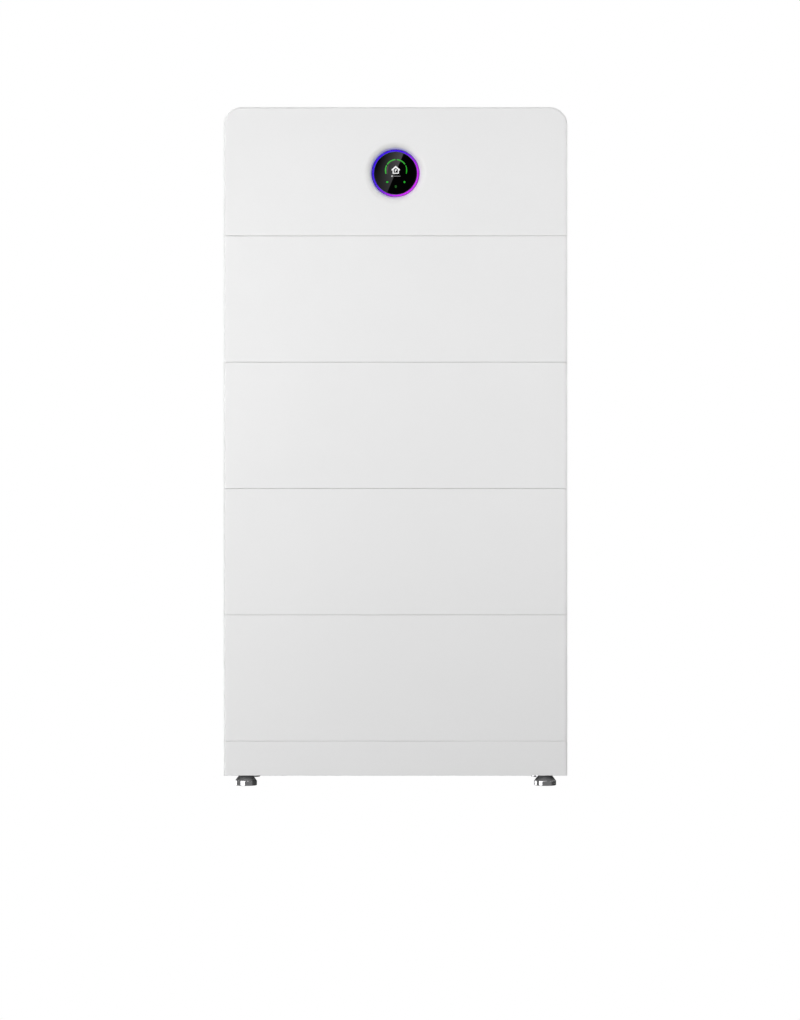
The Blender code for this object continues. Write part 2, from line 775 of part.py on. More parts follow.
    # folded wall brackets on the back of the head
    for side, sign in (("left", -1), ("right", 1)):
        x = 190 * sign
        back = REAR_Y + GAP
        fold = [
            (back, 1088), (back + 3, 1088), (back + 3, 1142), (BRACKET_Y, 1142),
            (BRACKET_Y, 1180), (BRACKET_Y - 3, 1180), (BRACKET_Y - 3, 1145), (back, 1145),
        ]
        strap = plate_mesh(f"wall_bracket_{side}", fold, x - 32, x + 32, "YZ")
        slot = plate_mesh(
            "slot",
            rounded_outline(x - 11, x + 11, 1159, 1168, (4.4,) * 4, 3),
            BRACKET_Y - 12,
            BRACKET_Y + 8,
            "XZ",
        )
        put(f"wall_bracket_{side}", carve(strap, [slot]), ZINC, parent=root)
    return root


build_base()
HEAD_SOCKET = build_modules()
build_head(HEAD_SOCKET)
bpy.context.view_layer.update()
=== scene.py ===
"""Looks of the stackable home battery tower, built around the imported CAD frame.

Metres, row frame: +X right, -Y towards the viewer, +Z up.  Sizes below are in
millimetres until a mesh is made.
"""

import json
import math

import bmesh
import bpy
from mathutils import Matrix, Vector


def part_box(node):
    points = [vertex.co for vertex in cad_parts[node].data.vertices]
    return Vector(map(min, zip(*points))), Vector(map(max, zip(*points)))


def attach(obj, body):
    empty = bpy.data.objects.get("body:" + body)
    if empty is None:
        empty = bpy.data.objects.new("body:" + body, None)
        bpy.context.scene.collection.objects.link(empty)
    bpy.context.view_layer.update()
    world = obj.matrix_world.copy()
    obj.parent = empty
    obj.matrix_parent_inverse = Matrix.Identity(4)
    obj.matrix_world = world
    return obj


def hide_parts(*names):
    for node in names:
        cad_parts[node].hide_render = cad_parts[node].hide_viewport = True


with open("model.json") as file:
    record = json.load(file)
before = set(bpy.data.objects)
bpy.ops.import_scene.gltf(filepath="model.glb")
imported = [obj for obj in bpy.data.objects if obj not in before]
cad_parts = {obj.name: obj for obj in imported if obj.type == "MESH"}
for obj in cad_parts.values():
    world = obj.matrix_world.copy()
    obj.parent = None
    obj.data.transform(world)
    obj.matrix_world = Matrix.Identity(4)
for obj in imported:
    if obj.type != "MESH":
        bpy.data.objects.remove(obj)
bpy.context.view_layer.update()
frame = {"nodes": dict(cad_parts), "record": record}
MM = 0.001

# ------------------------------------------------------------------ positions
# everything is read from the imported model, so that pieces sit where the CAD says


def mm_box(node):
    low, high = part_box(node)
    return [c / MM for c in low], [c / MM for c in high]


PL_LO, PL_HI = mm_box("base_plinth")
HALF = PL_HI[0]
FRONT_Y, REAR_Y = PL_LO[1], PL_HI[1]
HC_LO, HC_HI = mm_box("head_front_cover")
JOIN_Y = HC_HI[1]
TOP_Z = HC_HI[2]
CASE_Y0 = mm_box("head_case")[0][1]
RING_LO, RING_HI = mm_box("display_light_ring")
DISP_X = (RING_LO[0] + RING_HI[0]) / 2
DISP_Z = (RING_LO[2] + RING_HI[2]) / 2
LENS_LO, LENS_HI = mm_box("display_lens")
FRONT_R, REAR_R, HEAD_R, SHEET = 4.5, 6.0, 31.0, 2.0
MODULES = 4
HEAD_Z = HC_LO[2] - 0.3

# -------------------------------------------------------------- mesh helpers


def new_mesh(name, bm):
    bm.normal_update()
    bmesh.ops.recalc_face_normals(bm, faces=bm.faces)
    if all(len(e.link_faces) == 2 for e in bm.edges) and bm.calc_volume(signed=True) < 0:
        bmesh.ops.reverse_faces(bm, faces=bm.faces)
    mesh = bpy.data.meshes.new(name)
    bm.to_mesh(mesh)
    bm.free()
    return mesh


def outline(x0, x1, y0, y1, radii, steps=8):
    """Rounded rectangle, anticlockwise from the lower left corner."""
    if not isinstance(radii, (tuple, list)):
        radii = (radii,) * 4
    corners = ((x0, y0, 1, 1, 180), (x1, y0, -1, 1, 270), (x1, y1, -1, -1, 0), (x0, y1, 1, -1, 90))
    points = []
    for (cx, cy, sx, sy, start), r in zip(corners, radii):
        if r <= 0:
            points.append((cx, cy))
            continue
        for i in range(steps + 1):
            a = math.radians(start + 90 * i / steps)
            points.append((cx + sx * r + r * math.cos(a), cy + sy * r + r * math.sin(a)))
    return points


def disc(cx, cy, r, steps=48):
    return [
        (cx + r * math.cos(math.tau * i / steps), cy + r * math.sin(math.tau * i / steps))
        for i in range(steps)
    ]


STANDS = {
    "XY": Matrix.Identity(4),
    "XZ": Matrix(((1, 0, 0, 0), (0, 0, 1, 0), (0, 1, 0, 0), (0, 0, 0, 1))),
    "YZ": Matrix(((0, 0, 1, 0), (1, 0, 0, 0), (0, 1, 0, 0), (0, 0, 0, 1))),
}


def loft(name, rings, plane="XY", caps=(True, True)):
    """Skins equal-count outlines [(points, height), ...] one after another."""
    bm = bmesh.new()
    rows = [[bm.verts.new((x * MM, y * MM, h * MM)) for x, y in pts] for pts, h in rings]
    n = len(rows[0])
    for a, b in zip(rows, rows[1:]):
        for i in range(n):
            j = (i + 1) % n
            bm.faces.new((a[i], a[j], b[j], b[i]))
    if caps[0]:
        bm.faces.new(rows[0][::-1])
    if caps[1]:
        bm.faces.new(rows[-1])
    bm.transform(STANDS[plane])
    return new_mesh(name, bm)


def prism(name, pts, low, high, plane="XY"):
    return loft(name, [(pts, low), (pts, high)], plane)


def box(name, low, high):
    return prism(name, outline(low[0], high[0], low[1], high[1], 0), low[2], high[2])


def turned(name, profile, steps=64, close=False):
    """Profile of (radius, height) turned about Z by a spin."""
    bm = bmesh.new()
    vs = [bm.verts.new((r * MM, 0, z * MM)) for r, z in profile]
    es = [bm.edges.new((a, b)) for a, b in zip(vs, vs[1:])]
    if close:
        es.append(bm.edges.new((vs[-1], vs[0])))
    bmesh.ops.spin(
        bm, geom=vs + es, cent=(0, 0, 0), axis=(0, 0, 1), angle=math.tau, steps=steps,
        use_merge=True, dvec=(0, 0, 0),
    )
    bmesh.ops.remove_doubles(bm, verts=bm.verts, dist=1e-7)
    return new_mesh(name, bm)


def arc(cx, cz, r, a0, a1, steps):
    """Points of an arc, in degrees."""
    return [
        (cx + r * math.cos(math.radians(a0 + (a1 - a0) * i / steps)),
         cz + r * math.sin(math.radians(a0 + (a1 - a0) * i / steps)))
        for i in range(steps + 1)
    ]


def face_to(mesh, way, at=(0, 0, 0)):
    """Turns a shape made along +Z so that +Z becomes that way, then moves it."""
    turn = {
        "up": Matrix.Identity(4),
        "front": Matrix.Rotation(math.pi / 2, 4, "X"),
        "back": Matrix.Rotation(-math.pi / 2, 4, "X"),
        "right": Matrix.Rotation(math.pi / 2, 4, "Y"),
        "left": Matrix.Rotation(-math.pi / 2, 4, "Y"),
    }[way]
    mesh.transform(Matrix.Translation(Vector(at) * MM) @ turn)
    return mesh


def moved(mesh, at, name=None):
    made = mesh.copy()
    made.transform(Matrix.Translation(Vector(at) * MM))
    if name:
        made.name = name
    return made


def mirrored(mesh, name):
    made = mesh.copy()
    made.transform(Matrix.Scale(-1, 4, (1, 0, 0)))
    made.flip_normals()
    made.name = name
    return made


def bevel(mesh, test, width, segments=4, profile=0.5, middle=False):
    """Rounds the sharp edges whose two ends, or middle, pass the test (in millimetres)."""

    def chosen(e):
        if middle:
            return test((e.verts[0].co + e.verts[1].co) / 2 / MM)
        return all(test(v.co / MM) for v in e.verts)

    bm = bmesh.new()
    bm.from_mesh(mesh)
    bm.normal_update()
    edges = [
        e for e in bm.edges
        if len(e.link_faces) == 2
        and e.calc_face_angle(0) > math.radians(25)
        and chosen(e)
    ]
    bmesh.ops.bevel(
        bm, geom=edges, offset=width * MM, offset_type="OFFSET", segments=segments,
        profile=profile, affect="EDGES", clamp_overlap=False,
    )
    bm.to_mesh(mesh)
    bm.free()
    return mesh


def drop_faces(mesh, test):
    bm = bmesh.new()
    bm.from_mesh(mesh)
    bm.normal_update()
    gone = [f for f in bm.faces if test(f.calc_center_median() / MM, f.normal)]
    bmesh.ops.delete(bm, geom=gone, context="FACES")
    bm.to_mesh(mesh)
    bm.free()
    return mesh


def applied(mesh, *mods):
    """Runs modifiers (kind, settings) on the mesh and returns the result."""
    work = bpy.data.objects.new("work", mesh)
    bpy.context.scene.collection.objects.link(work)
    for kind, settings in mods:
        m = work.modifiers.new(kind.lower(), kind)
        for key, value in settings.items():
            setattr(m, key, value)
    bpy.context.view_layer.update()
    graph = bpy.context.evaluated_depsgraph_get()
    made = bpy.data.meshes.new_from_object(work.evaluated_get(graph), depsgraph=graph)
    bpy.data.objects.remove(work)
    made.name = mesh.name
    return made


def shell(mesh, thickness=SHEET):
    return applied(mesh, ("SOLIDIFY", {"thickness": thickness * MM, "offset": -1.0, "use_even_offset": True}))


def carve(mesh, cuts=(), joins=()):
    tools = []
    mods = []
    for operation, others in (("UNION", joins), ("DIFFERENCE", cuts)):
        for other in others:
            tool = bpy.data.objects.new("tool", other)
            bpy.context.scene.collection.objects.link(tool)
            tools.append(tool)
            mods.append(("BOOLEAN", {"operation": operation, "solver": "EXACT", "object": tool}))
    made = applied(mesh, *mods)
    for tool in tools:
        bpy.data.objects.remove(tool)
    bm = bmesh.new()
    bm.from_mesh(made)
    bmesh.ops.remove_doubles(bm, verts=bm.verts, dist=1e-7)
    bm.to_mesh(made)
    bm.free()
    return made


def joined(name, meshes):
    bm = bmesh.new()
    for mesh in meshes:
        bm.from_mesh(mesh)
    made = bpy.data.meshes.new(name)
    bm.to_mesh(made)
    bm.free()
    return made


def piece(name, mesh, mat, body="tower", stands_for=(), angle=30, weighted=True):
    """Links a mesh as a visible piece that rides on a CAD body."""
    if not mesh.polygons:
        raise RuntimeError(f"{name} has no faces")
    mesh.materials.clear()
    for m in mat if isinstance(mat, (list, tuple)) else [mat]:
        mesh.materials.append(m)
    mesh.shade_smooth()
    mesh.set_sharp_from_angle(angle=math.radians(angle))
    obj = bpy.data.objects.new(name, mesh)
    bpy.context.scene.collection.objects.link(obj)
    if weighted:
        m = obj.modifiers.new("normals", "WEIGHTED_NORMAL")
        m.keep_sharp = True
        m.weight = 80
    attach(obj, body)
    if stands_for:
        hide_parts(*stands_for)
    return obj


# ------------------------------------------------------------------ materials


class Shade:
    """A small wrapper that wires nodes around one Principled BSDF."""

    def __init__(self, name, colour, roughness, metallic=0.0, specular=0.5):
        self.mat = bpy.data.materials.new(name)
        self.mat.use_nodes = True
        self.tree = self.mat.node_tree
        self.bsdf = self.tree.nodes["Principled BSDF"]
        self.bsdf.inputs["Base Color"].default_value = (*colour, 1)
        self.bsdf.inputs["Roughness"].default_value = roughness
        self.bsdf.inputs["Metallic"].default_value = metallic
        self.bsdf.inputs["Specular IOR Level"].default_value = specular
        self.coord = self.tree.nodes.new("ShaderNodeTexCoord").outputs["Object"]
        self.normal = None

    def node(self, kind, **settings):
        n = self.tree.nodes.new(kind)
        for key, value in settings.items():
            setattr(n, key, value)
        return n

    def link(self, a, b):
        self.tree.links.new(a, b)

    def noise(self, scale, detail=2.0, rough=0.5, stretch=None, vector=None):
        n = self.node("ShaderNodeTexNoise")
        n.inputs["Scale"].default_value = scale
        n.inputs["Detail"].default_value = detail
        n.inputs["Roughness"].default_value = rough
        source = vector or self.coord
        if stretch:
            m = self.node("ShaderNodeMapping")
            m.inputs["Scale"].default_value = stretch
            self.link(source, m.inputs["Vector"])
            source = m.outputs["Vector"]
        self.link(source, n.inputs["Vector"])
        return n.outputs["Fac"]

    def voronoi(self, scale, feature="F1", out="Color"):
        n = self.node("ShaderNodeTexVoronoi", feature=feature)
        n.inputs["Scale"].default_value = scale
        self.link(self.coord, n.inputs["Vector"])
        return n.outputs[out]

    def ramp(self, source, low, high, to_low, to_high, smooth=False):
        n = self.node("ShaderNodeMapRange")
        if smooth:
            n.interpolation_type = "SMOOTHSTEP"
        n.inputs["From Min"].default_value = low
        n.inputs["From Max"].default_value = high
        n.inputs["To Min"].default_value = to_low
        n.inputs["To Max"].default_value = to_high
        self.link(source, n.inputs["Value"])
        return n.outputs["Result"]

    def mix(self, factor, a, b):
        n = self.node("ShaderNodeMix", data_type="RGBA")
        self.link(factor, n.inputs["Factor"])
        for value, key in ((a, 6), (b, 7)):
            if isinstance(value, tuple):
                n.inputs[key].default_value = (*value, 1)
            else:
                self.link(value, n.inputs[key])
        return n.outputs[2]

    def math(self, operation, a, b=None, c=None):
        n = self.node("ShaderNodeMath", operation=operation)
        for i, value in enumerate((a, b, c)):
            if value is None:
                continue
            if isinstance(value, (int, float)):
                n.inputs[i].default_value = value
            else:
                self.link(value, n.inputs[i])
        return n.outputs[0]

    def axes(self, source=None):
        n = self.node("ShaderNodeSeparateXYZ")
        self.link(source or self.coord, n.inputs[0])
        return n.outputs

    def colour(self, source):
        self.link(source, self.bsdf.inputs["Base Color"])

    def rough(self, source):
        self.link(source, self.bsdf.inputs["Roughness"])

    def bump(self, height, distance_mm, strength=1.0):
        n = self.node("ShaderNodeBump")
        n.inputs["Strength"].default_value = strength
        n.inputs["Distance"].default_value = distance_mm * MM
        self.link(height, n.inputs["Height"])
        if self.normal:
            self.link(self.normal, n.inputs["Normal"])
        self.normal = n.outputs["Normal"]
        self.link(self.normal, self.bsdf.inputs["Normal"])


def powder_coat(name, light, dark, roughness=(0.40, 0.50)):
    s = Shade(name, light, sum(roughness) / 2)
    broad = s.noise(2.2, 3.0)
    speck = s.noise(420.0, 2.0)
    tone = s.mix(s.ramp(broad, 0.35, 0.65, 0, 1, True), dark, light)
    grain = s.mix(s.ramp(speck, 0.3, 0.7, 0, 0.35), tone, tuple(c * 0.985 for c in dark))
    s.colour(grain)
    s.rough(s.ramp(s.noise(55.0, 4.0), 0.3, 0.7, *roughness))
    s.bump(s.noise(650.0, 2.0, 0.55), 0.035)
    s.bump(s.noise(2400.0, 1.0), 0.008)
    return s.mat


def plastic(name, light, dark, roughness=(0.42, 0.58), grain=1500.0, depth=0.02):
    s = Shade(name, light, sum(roughness) / 2)
    s.colour(s.mix(s.noise(24.0, 4.0), dark, light))
    s.rough(s.ramp(s.noise(260.0, 3.0), 0.3, 0.7, *roughness))
    s.bump(s.noise(grain, 3.0, 0.6), depth)
    return s.mat


def galvanised(name, light, dark, roughness=(0.38, 0.54)):
    s = Shade(name, light, 0.35, 1.0)
    cells = s.axes(s.voronoi(85.0))[0]
    s.colour(s.mix(cells, dark, light))
    s.rough(s.ramp(cells, 0, 1, *roughness))
    s.bump(s.noise(700.0, 3.0), 0.01)
    return s.mat


def turned_metal(name, light, dark, roughness=(0.10, 0.2), pitch=2200.0):
    s = Shade(name, light, 0.15, 1.0)
    lines = s.noise(1.0, 2.0, 0.6, stretch=(6.0, 6.0, pitch))
    s.colour(s.mix(s.noise(90.0, 3.0), dark, light))
    s.rough(s.ramp(lines, 0.3, 0.7, *roughness))
    s.bump(lines, 0.003)
    return s.mat


def foot_metal():
    """Dark nickel: polished round the rim, blasted satin on the cone above it."""
    s = Shade("foot_dark_nickel", (0.5, 0.5, 0.51), 0.1, 1.0)
    z = s.axes()[2]
    cone = s.ramp(z, 0.0084, 0.0092, 0, 1, True)
    fine = s.noise(1.0, 2.0, 0.6, stretch=(6.0, 6.0, 2200.0))
    rim = s.mix(s.noise(90.0, 3.0), (0.50, 0.50, 0.51), (0.56, 0.56, 0.57))
    satin = s.mix(s.noise(260.0, 3.0), (0.36, 0.36, 0.365), (0.42, 0.42, 0.425))
    s.colour(s.mix(cone, rim, satin))
    s.link(s.ramp(cone, 0, 1, 1.0, 0.55), s.bsdf.inputs["Metallic"])
    polish = s.ramp(fine, 0.3, 0.7, 0.045, 0.085)
    blast = s.ramp(s.noise(1400.0, 2.0), 0.3, 0.7, 0.34, 0.44)
    s.rough(s.math("ADD", s.math("MULTIPLY", polish, s.math("SUBTRACT", 1.0, cone)), s.math("MULTIPLY", blast, cone)))
    s.bump(fine, 0.0015)
    return s.mat


WHITE = powder_coat("powder_coat_white", (0.845, 0.845, 0.845), (0.830, 0.830, 0.830))
# a darker copy of the white coat for the CAD parts left inside: painted shade
WHITE_PAINTED_SHADE = powder_coat("powder_coat_painted_shade", (0.80, 0.80, 0.80), (0.78, 0.78, 0.78))
BLACK = plastic("moulded_black", (0.032, 0.032, 0.034), (0.020, 0.020, 0.022))
GREY = plastic("moulded_grey", (0.20, 0.21, 0.22), (0.165, 0.175, 0.185))
ORANGE = plastic("moulded_orange", (0.86, 0.24, 0.03), (0.70, 0.17, 0.02), grain=1200.0)
RED = plastic("moulded_red", (0.62, 0.03, 0.025), (0.48, 0.02, 0.02), (0.3, 0.42), 1200.0)
SEAL = plastic("seal_light_grey", (0.74, 0.74, 0.74), (0.68, 0.68, 0.68), (0.6, 0.75), 900.0, 0.03)
RUBBER = plastic("rubber_black", (0.03, 0.03, 0.03), (0.018, 0.018, 0.018), (0.6, 0.78), 900.0, 0.04)
ZINC = galvanised("galvanised", (0.62, 0.63, 0.64), (0.44, 0.45, 0.47))
FOOT = foot_metal()
STEEL = turned_metal("steel_bright", (0.54, 0.54, 0.55), (0.42, 0.42, 0.43), (0.36, 0.50))
BRASS = turned_metal("brass_contact", (0.74, 0.52, 0.22), (0.60, 0.40, 0.15), (0.34, 0.46))


def screw_material():
    s = Shade("screw_zinc", (0.46, 0.46, 0.47), 0.45, 1.0)
    s.colour(s.mix(s.noise(300.0, 3.0), (0.36, 0.36, 0.37), (0.52, 0.52, 0.53)))
    s.rough(s.ramp(s.noise(900.0, 3.0), 0.3, 0.7, 0.40, 0.56))
    s.bump(s.noise(2600.0, 2.0), 0.004)
    return s.mat


SCREW = screw_material()


def light_ring_material():
    """Blue at the upper left, running to magenta at the lower right."""
    s = Shade("light_guide", (0.004, 0.002, 0.008), 0.3, 0.0, 0.15)
    x, y, z = s.axes()
    lean = math.radians(39.0)
    u = s.math("SUBTRACT", x, DISP_X * MM)
    v = s.math("SUBTRACT", z, DISP_Z * MM)
    across = s.math("SUBTRACT", s.math("MULTIPLY", u, math.cos(lean)), s.math("MULTIPLY", v, math.sin(lean)))
    t = s.ramp(across, -0.0394, 0.0394, 0, 1)
    ramp = s.node("ShaderNodeValToRGB")
    stops = [
        (0.0, (60, 4, 224)), (0.20, (58, 4, 222)), (0.325, (70, 8, 222)), (0.45, (98, 14, 220)),
        (0.55, (126, 18, 224)), (0.68, (160, 26, 228)), (0.80, (186, 34, 234)), (0.90, (200, 38, 240)),
        (1.0, (207, 42, 242)),
    ]
    elements = ramp.color_ramp.elements
    while len(elements) < len(stops):
        elements.new(0.5)
    for e, (pos, rgb) in zip(elements, stops):
        e.position = pos
        e.color = (*(srgb(c) for c in rgb), 1)
    s.link(t, ramp.inputs["Fac"])
    shimmer = s.ramp(s.noise(160.0, 2.0), 0.3, 0.7, 1.0, 1.08)
    s.link(ramp.outputs["Color"], s.bsdf.inputs["Emission Color"])
    s.link(shimmer, s.bsdf.inputs["Emission Strength"])
    s.colour(s.mix(t, (0.003, 0.001, 0.012), (0.010, 0.001, 0.010)))
    s.rough(s.ramp(s.noise(240.0, 2.0), 0.3, 0.7, 0.24, 0.34))
    return s.mat


def srgb(c):
    c = c / 255
    return c / 12.92 if c <= 0.04045 else ((c + 0.055) / 1.055) ** 2.4


def glass_with_painted_sheen_material():
    """Gloss black cover glass with a painted reflection: its emission paints a grey sheen over the left part, with a
    sharp diagonal edge.
    """
    s = Shade("display_glass", (0.0004, 0.0004, 0.0005), 0.03, 0.0, 0.03)
    x, y, z = s.axes()
    u = s.math("DIVIDE", s.math("SUBTRACT", x, DISP_X * MM), MM)
    v = s.math("DIVIDE", s.math("SUBTRACT", z, DISP_Z * MM), MM)
    # edge of the painted sheen runs through (14.1, 34.5) and (-14.5, -33.7), bright on the left
    lean = math.atan2(14.1 + 14.5, 34.5 + 33.7)
    ca, sa = math.cos(lean), math.sin(lean)
    side = s.math("ADD", s.math("MULTIPLY", u, ca), s.math("MULTIPLY", v, -sa))
    off = 14.1 * ca - 34.5 * sa
    edge = s.ramp(side, off - 0.5, off + 0.5, 1, 0, True)
    sheen_fade = s.ramp(side, -37.0, off, 0.0, 1.0, False)
    low = s.ramp(v, -34.0, 20.0, 0.42, 1.0, True)
    painted_sheen = s.math("MULTIPLY", s.math("MULTIPLY", edge, s.math("POWER", sheen_fade, 1.3)), low)
    grain = s.ramp(s.noise(900.0, 1.0), 0.3, 0.7, 0.97, 1.03)
    # the painted reflection glows as grey emission, strongest at the diagonal edge, fading to the left and darker
    # towards the bottom
    s.link(s.mix(s.math("MULTIPLY", painted_sheen, grain), (0.0, 0.0, 0.0), (0.070, 0.070, 0.072)),
           s.bsdf.inputs["Emission Color"])
    s.bsdf.inputs["Emission Strength"].default_value = 1.0
    s.rough(s.ramp(s.noise(60.0, 3.0), 0.3, 0.7, 0.02, 0.05))
    return s.mat


def glow_material_with_painted_sheen(name, rgb_a, rgb_b, strength=1.0):
    """Glowing screen graphic; its tone is lighter, and greyer for the coloured marks, towards the upper left, a
    painted sheen of the cover glass over it.
    """
    s = Shade(name, tuple(srgb(c) * 0.03 for c in rgb_a), 0.3, 0.0, 0.1)
    x, y, z = s.axes()
    # painted sheen: the colour runs from the lighter upper left to the lower right
    t = s.ramp(s.math("SUBTRACT", s.math("SUBTRACT", x, DISP_X * MM), s.math("SUBTRACT", z, DISP_Z * MM)),
               -0.024, 0.024, 0, 1)
    s.link(s.mix(t, tuple(srgb(c) for c in rgb_a), tuple(srgb(c) for c in rgb_b)), s.bsdf.inputs["Emission Color"])
    s.bsdf.inputs["Emission Strength"].default_value = strength
    s.rough(s.ramp(s.noise(300.0, 2.0), 0.3, 0.7, 0.25, 0.35))
    return s.mat


def board_material():
    s = Shade("solder_mask", (0.02, 0.16, 0.07), 0.35)
    n = s.node("ShaderNodeTexBrick")
    n.inputs["Scale"].default_value = 90.0
    n.inputs["Mortar Size"].default_value = 0.03
    n.inputs["Color1"].default_value = (0.012, 0.13, 0.055, 1)
    n.inputs["Color2"].default_value = (0.016, 0.155, 0.065, 1)
    n.inputs["Mortar"].default_value = (0.035, 0.24, 0.11, 1)
    m = s.node("ShaderNodeMapping")
    m.inputs["Rotation"].default_value = (math.pi / 2, 0, 0)
    s.link(s.coord, m.inputs["Vector"])
    s.link(m.outputs["Vector"], n.inputs["Vector"])
    parts = s.voronoi(95.0)
    dark = s.ramp(s.axes(parts)[1], 0.62, 0.66, 0, 1)
    s.colour(s.mix(dark, n.outputs["Color"], (0.03, 0.03, 0.032)))
    s.rough(s.ramp(s.noise(120.0, 3.0), 0.3, 0.7, 0.26, 0.44))
    s.bump(s.noise(500.0, 3.0), 0.03)
    return s.mat


def cell_material():
    """Blue film on the sides, bare aluminium on top."""
    s = Shade("cell_film", (0.05, 0.13, 0.32), 0.3)
    g = s.node("ShaderNodeNewGeometry")
    nz = s.axes(g.outputs["Normal"])[2]
    top = s.ramp(nz, 0.6, 0.9, 0, 1)
    film = s.mix(s.noise(30.0, 4.0), (0.035, 0.10, 0.27), (0.06, 0.16, 0.38))
    s.colour(s.mix(top, film, (0.78, 0.78, 0.79)))
    s.link(s.ramp(nz, 0.6, 0.9, 0, 1), s.bsdf.inputs["Metallic"])
    s.rough(s.ramp(s.noise(80.0, 4.0), 0.3, 0.7, 0.22, 0.42))
    s.bump(s.noise(60.0, 3.0, stretch=(1, 1, 0.2)), 0.25)
    return s.mat


RING_MAT = light_ring_material()
LENS_PAINTED_SHEEN_MAT = glass_with_painted_sheen_material()
GREEN_LIT = glow_material_with_painted_sheen("screen_green", (62, 172, 62), (0, 160, 0))
DIM_LIT = glow_material_with_painted_sheen("screen_dim", (84, 66, 78), (20, 12, 16))
ICON_LIT = glow_material_with_painted_sheen("screen_icon_green", (30, 190, 40), (20, 170, 30))
LEAF_LIT = glow_material_with_painted_sheen("screen_leaf_green", (0, 84, 0), (0, 72, 0))
MARK_LIT = glow_material_with_painted_sheen("screen_white", (250, 250, 250), (232, 232, 232))
BAR_LIT = glow_material_with_painted_sheen("screen_grey", (140, 140, 140), (112, 112, 112))
DOT_LIT = glow_material_with_painted_sheen("screen_grey_light", (205, 205, 205), (190, 190, 190))
LED_LIT = glow_material_with_painted_sheen("led_green", (60, 230, 90), (40, 220, 70), 1.5)
BOARD = board_material()
CELLS = cell_material()


# ------------------------------------------------------------------ fasteners
def countersunk(r=4.2):
    """Countersunk machine screw with a hexagon socket, its face at height 0."""
    body = turned("screw", [(0, 0.0), (r - 0.35, 0.0), (r, -0.35), (r - 1.4, -1.9), (0, -1.9)], 40)
    hexa = prism("hex", disc(0, 0, r * 0.48, 6), -1.5, 1.0)
    return carve(body, [hexa])


def pan_head(r=4.6, h=2.4):
    prof = [(0, h)] + [(r * math.sin(a), h * math.cos(a) ** 0.8) for a in
                       [math.radians(d) for d in (12, 24, 36, 48, 60, 70, 80)]] + [(r, 0.0), (r, -0.4), (0, -0.4)]
    body = turned("screw", prof, 40)
    hexa = prism("hex", disc(0, 0, r * 0.42, 6), h - 1.6, h + 2.0)
    return carve(body, [hexa])


COUNTERSUNK = countersunk()
PAN = pan_head()
SEAT = turned("seat", [(0, 1.0), (4.75, 1.0), (4.75, 0.0), (4.4, -0.35), (4.4, -4.0), (0, -4.0)], 40)


def placed(mesh, way, at):
    return face_to(mesh.copy(), way, at)


def triangulated(mesh):
    bm = bmesh.new()
    bm.from_mesh(mesh)
    bmesh.ops.triangulate(bm, faces=bm.faces)
    bm.to_mesh(mesh)
    bm.free()
    return mesh


def on_faces(mesh, spots, depth=0.12):
    """Copies of a shape set just below the skin at spots (side, x or y, z)."""
    made = []
    for way, along, z in spots:
        if way == "back":
            at = (along, REAR_Y - depth, z)
        else:
            at = ((HALF - depth) * (1 if way == "right" else -1), along, z)
        made.append(placed(mesh, way, at))
    return joined(mesh.name, made)


# --------------------------------------------------------------- front covers
def cover_mesh(z0, z1, seams=0.3, edge=0.5):
    pts = outline(-HALF, HALF, FRONT_Y, JOIN_Y, (FRONT_R, FRONT_R, 0, 0), 10)
    mesh = prism("cover", pts, z0 + seams, z1 - seams)
    mesh = bevel(
        mesh,
        lambda p: (abs(p.z - z0 - seams) < 0.01 or abs(p.z - z1 + seams) < 0.01) and p.y < JOIN_Y + 0.5,
        edge, 4,
    )
    mesh = drop_faces(mesh, lambda c, n: n.y > 0.9 and c.y > JOIN_Y - 0.5)
    return shell(mesh)


GRIP_HALF = (55.0, 17.0)


def grip_at(node):
    low, high = mm_box(node)
    return (low[1] + high[1]) / 2, (low[2] + high[2]) / 2


def case_mesh(z0, z1, grip_y, grip_z):
    low, high = z0 + 0.2, z1 - 0.2
    pts = outline(-HALF, HALF, CASE_Y0, REAR_Y, (0, 0, REAR_R, REAR_R), 10)
    mesh = prism("case", pts, low, high)
    mesh = bevel(
        mesh,
        lambda p: (abs(p.z - low) < 0.01 or abs(p.z - high) < 0.01),
        1.0, 4,
    )
    inner = outline(-HALF + SHEET, HALF - SHEET, CASE_Y0 - 8, REAR_Y - SHEET, (0, 0, 4, 4), 6)
    hollow = prism("hollow", inner, low + SHEET, high - SHEET)
    y0, y1 = grip_y - GRIP_HALF[0], grip_y + GRIP_HALF[0]
    g0, g1 = grip_z - GRIP_HALF[1], grip_z + GRIP_HALF[1]
    grip = prism("grip", outline(y0, y1, g0, g1, 9, 10), -HALF - 10, HALF + 10, "YZ")
    cuts = [hollow, grip]
    # beads pressed into the rear panel, 1.2 mm deep with sloping sides
    for zc in (z0 + 46.0, z0 + 174.0):
        rings = []
        for grow, depth in ((1.6, REAR_Y + 1.0), (1.6, REAR_Y + 0.001), (1.1, REAR_Y - 0.25), (0.2, REAR_Y - 1.0), (-0.6, REAR_Y - 1.2)):
            rings.append((outline(-232 - grow, 232 + grow, zc - 5 - grow, zc + 5 + grow, 5 + grow - 0.01, 8), depth))
        cuts.append(loft("bead", rings[1:], "XZ"))
    for xc, half in ((-140.0, 84.0), (140.0, 84.0)):
        rings = []
        for grow, depth in ((1.6, REAR_Y + 0.001), (1.1, REAR_Y - 0.25), (0.2, REAR_Y - 1.0), (-0.6, REAR_Y - 1.2)):
            rings.append((outline(xc - half - grow, xc + half + grow, z0 + 78 - grow, z0 + 142 + grow, 10 + grow, 8), depth))
        cuts.append(loft("panel", rings, "XZ"))
    return carve(mesh, cuts)


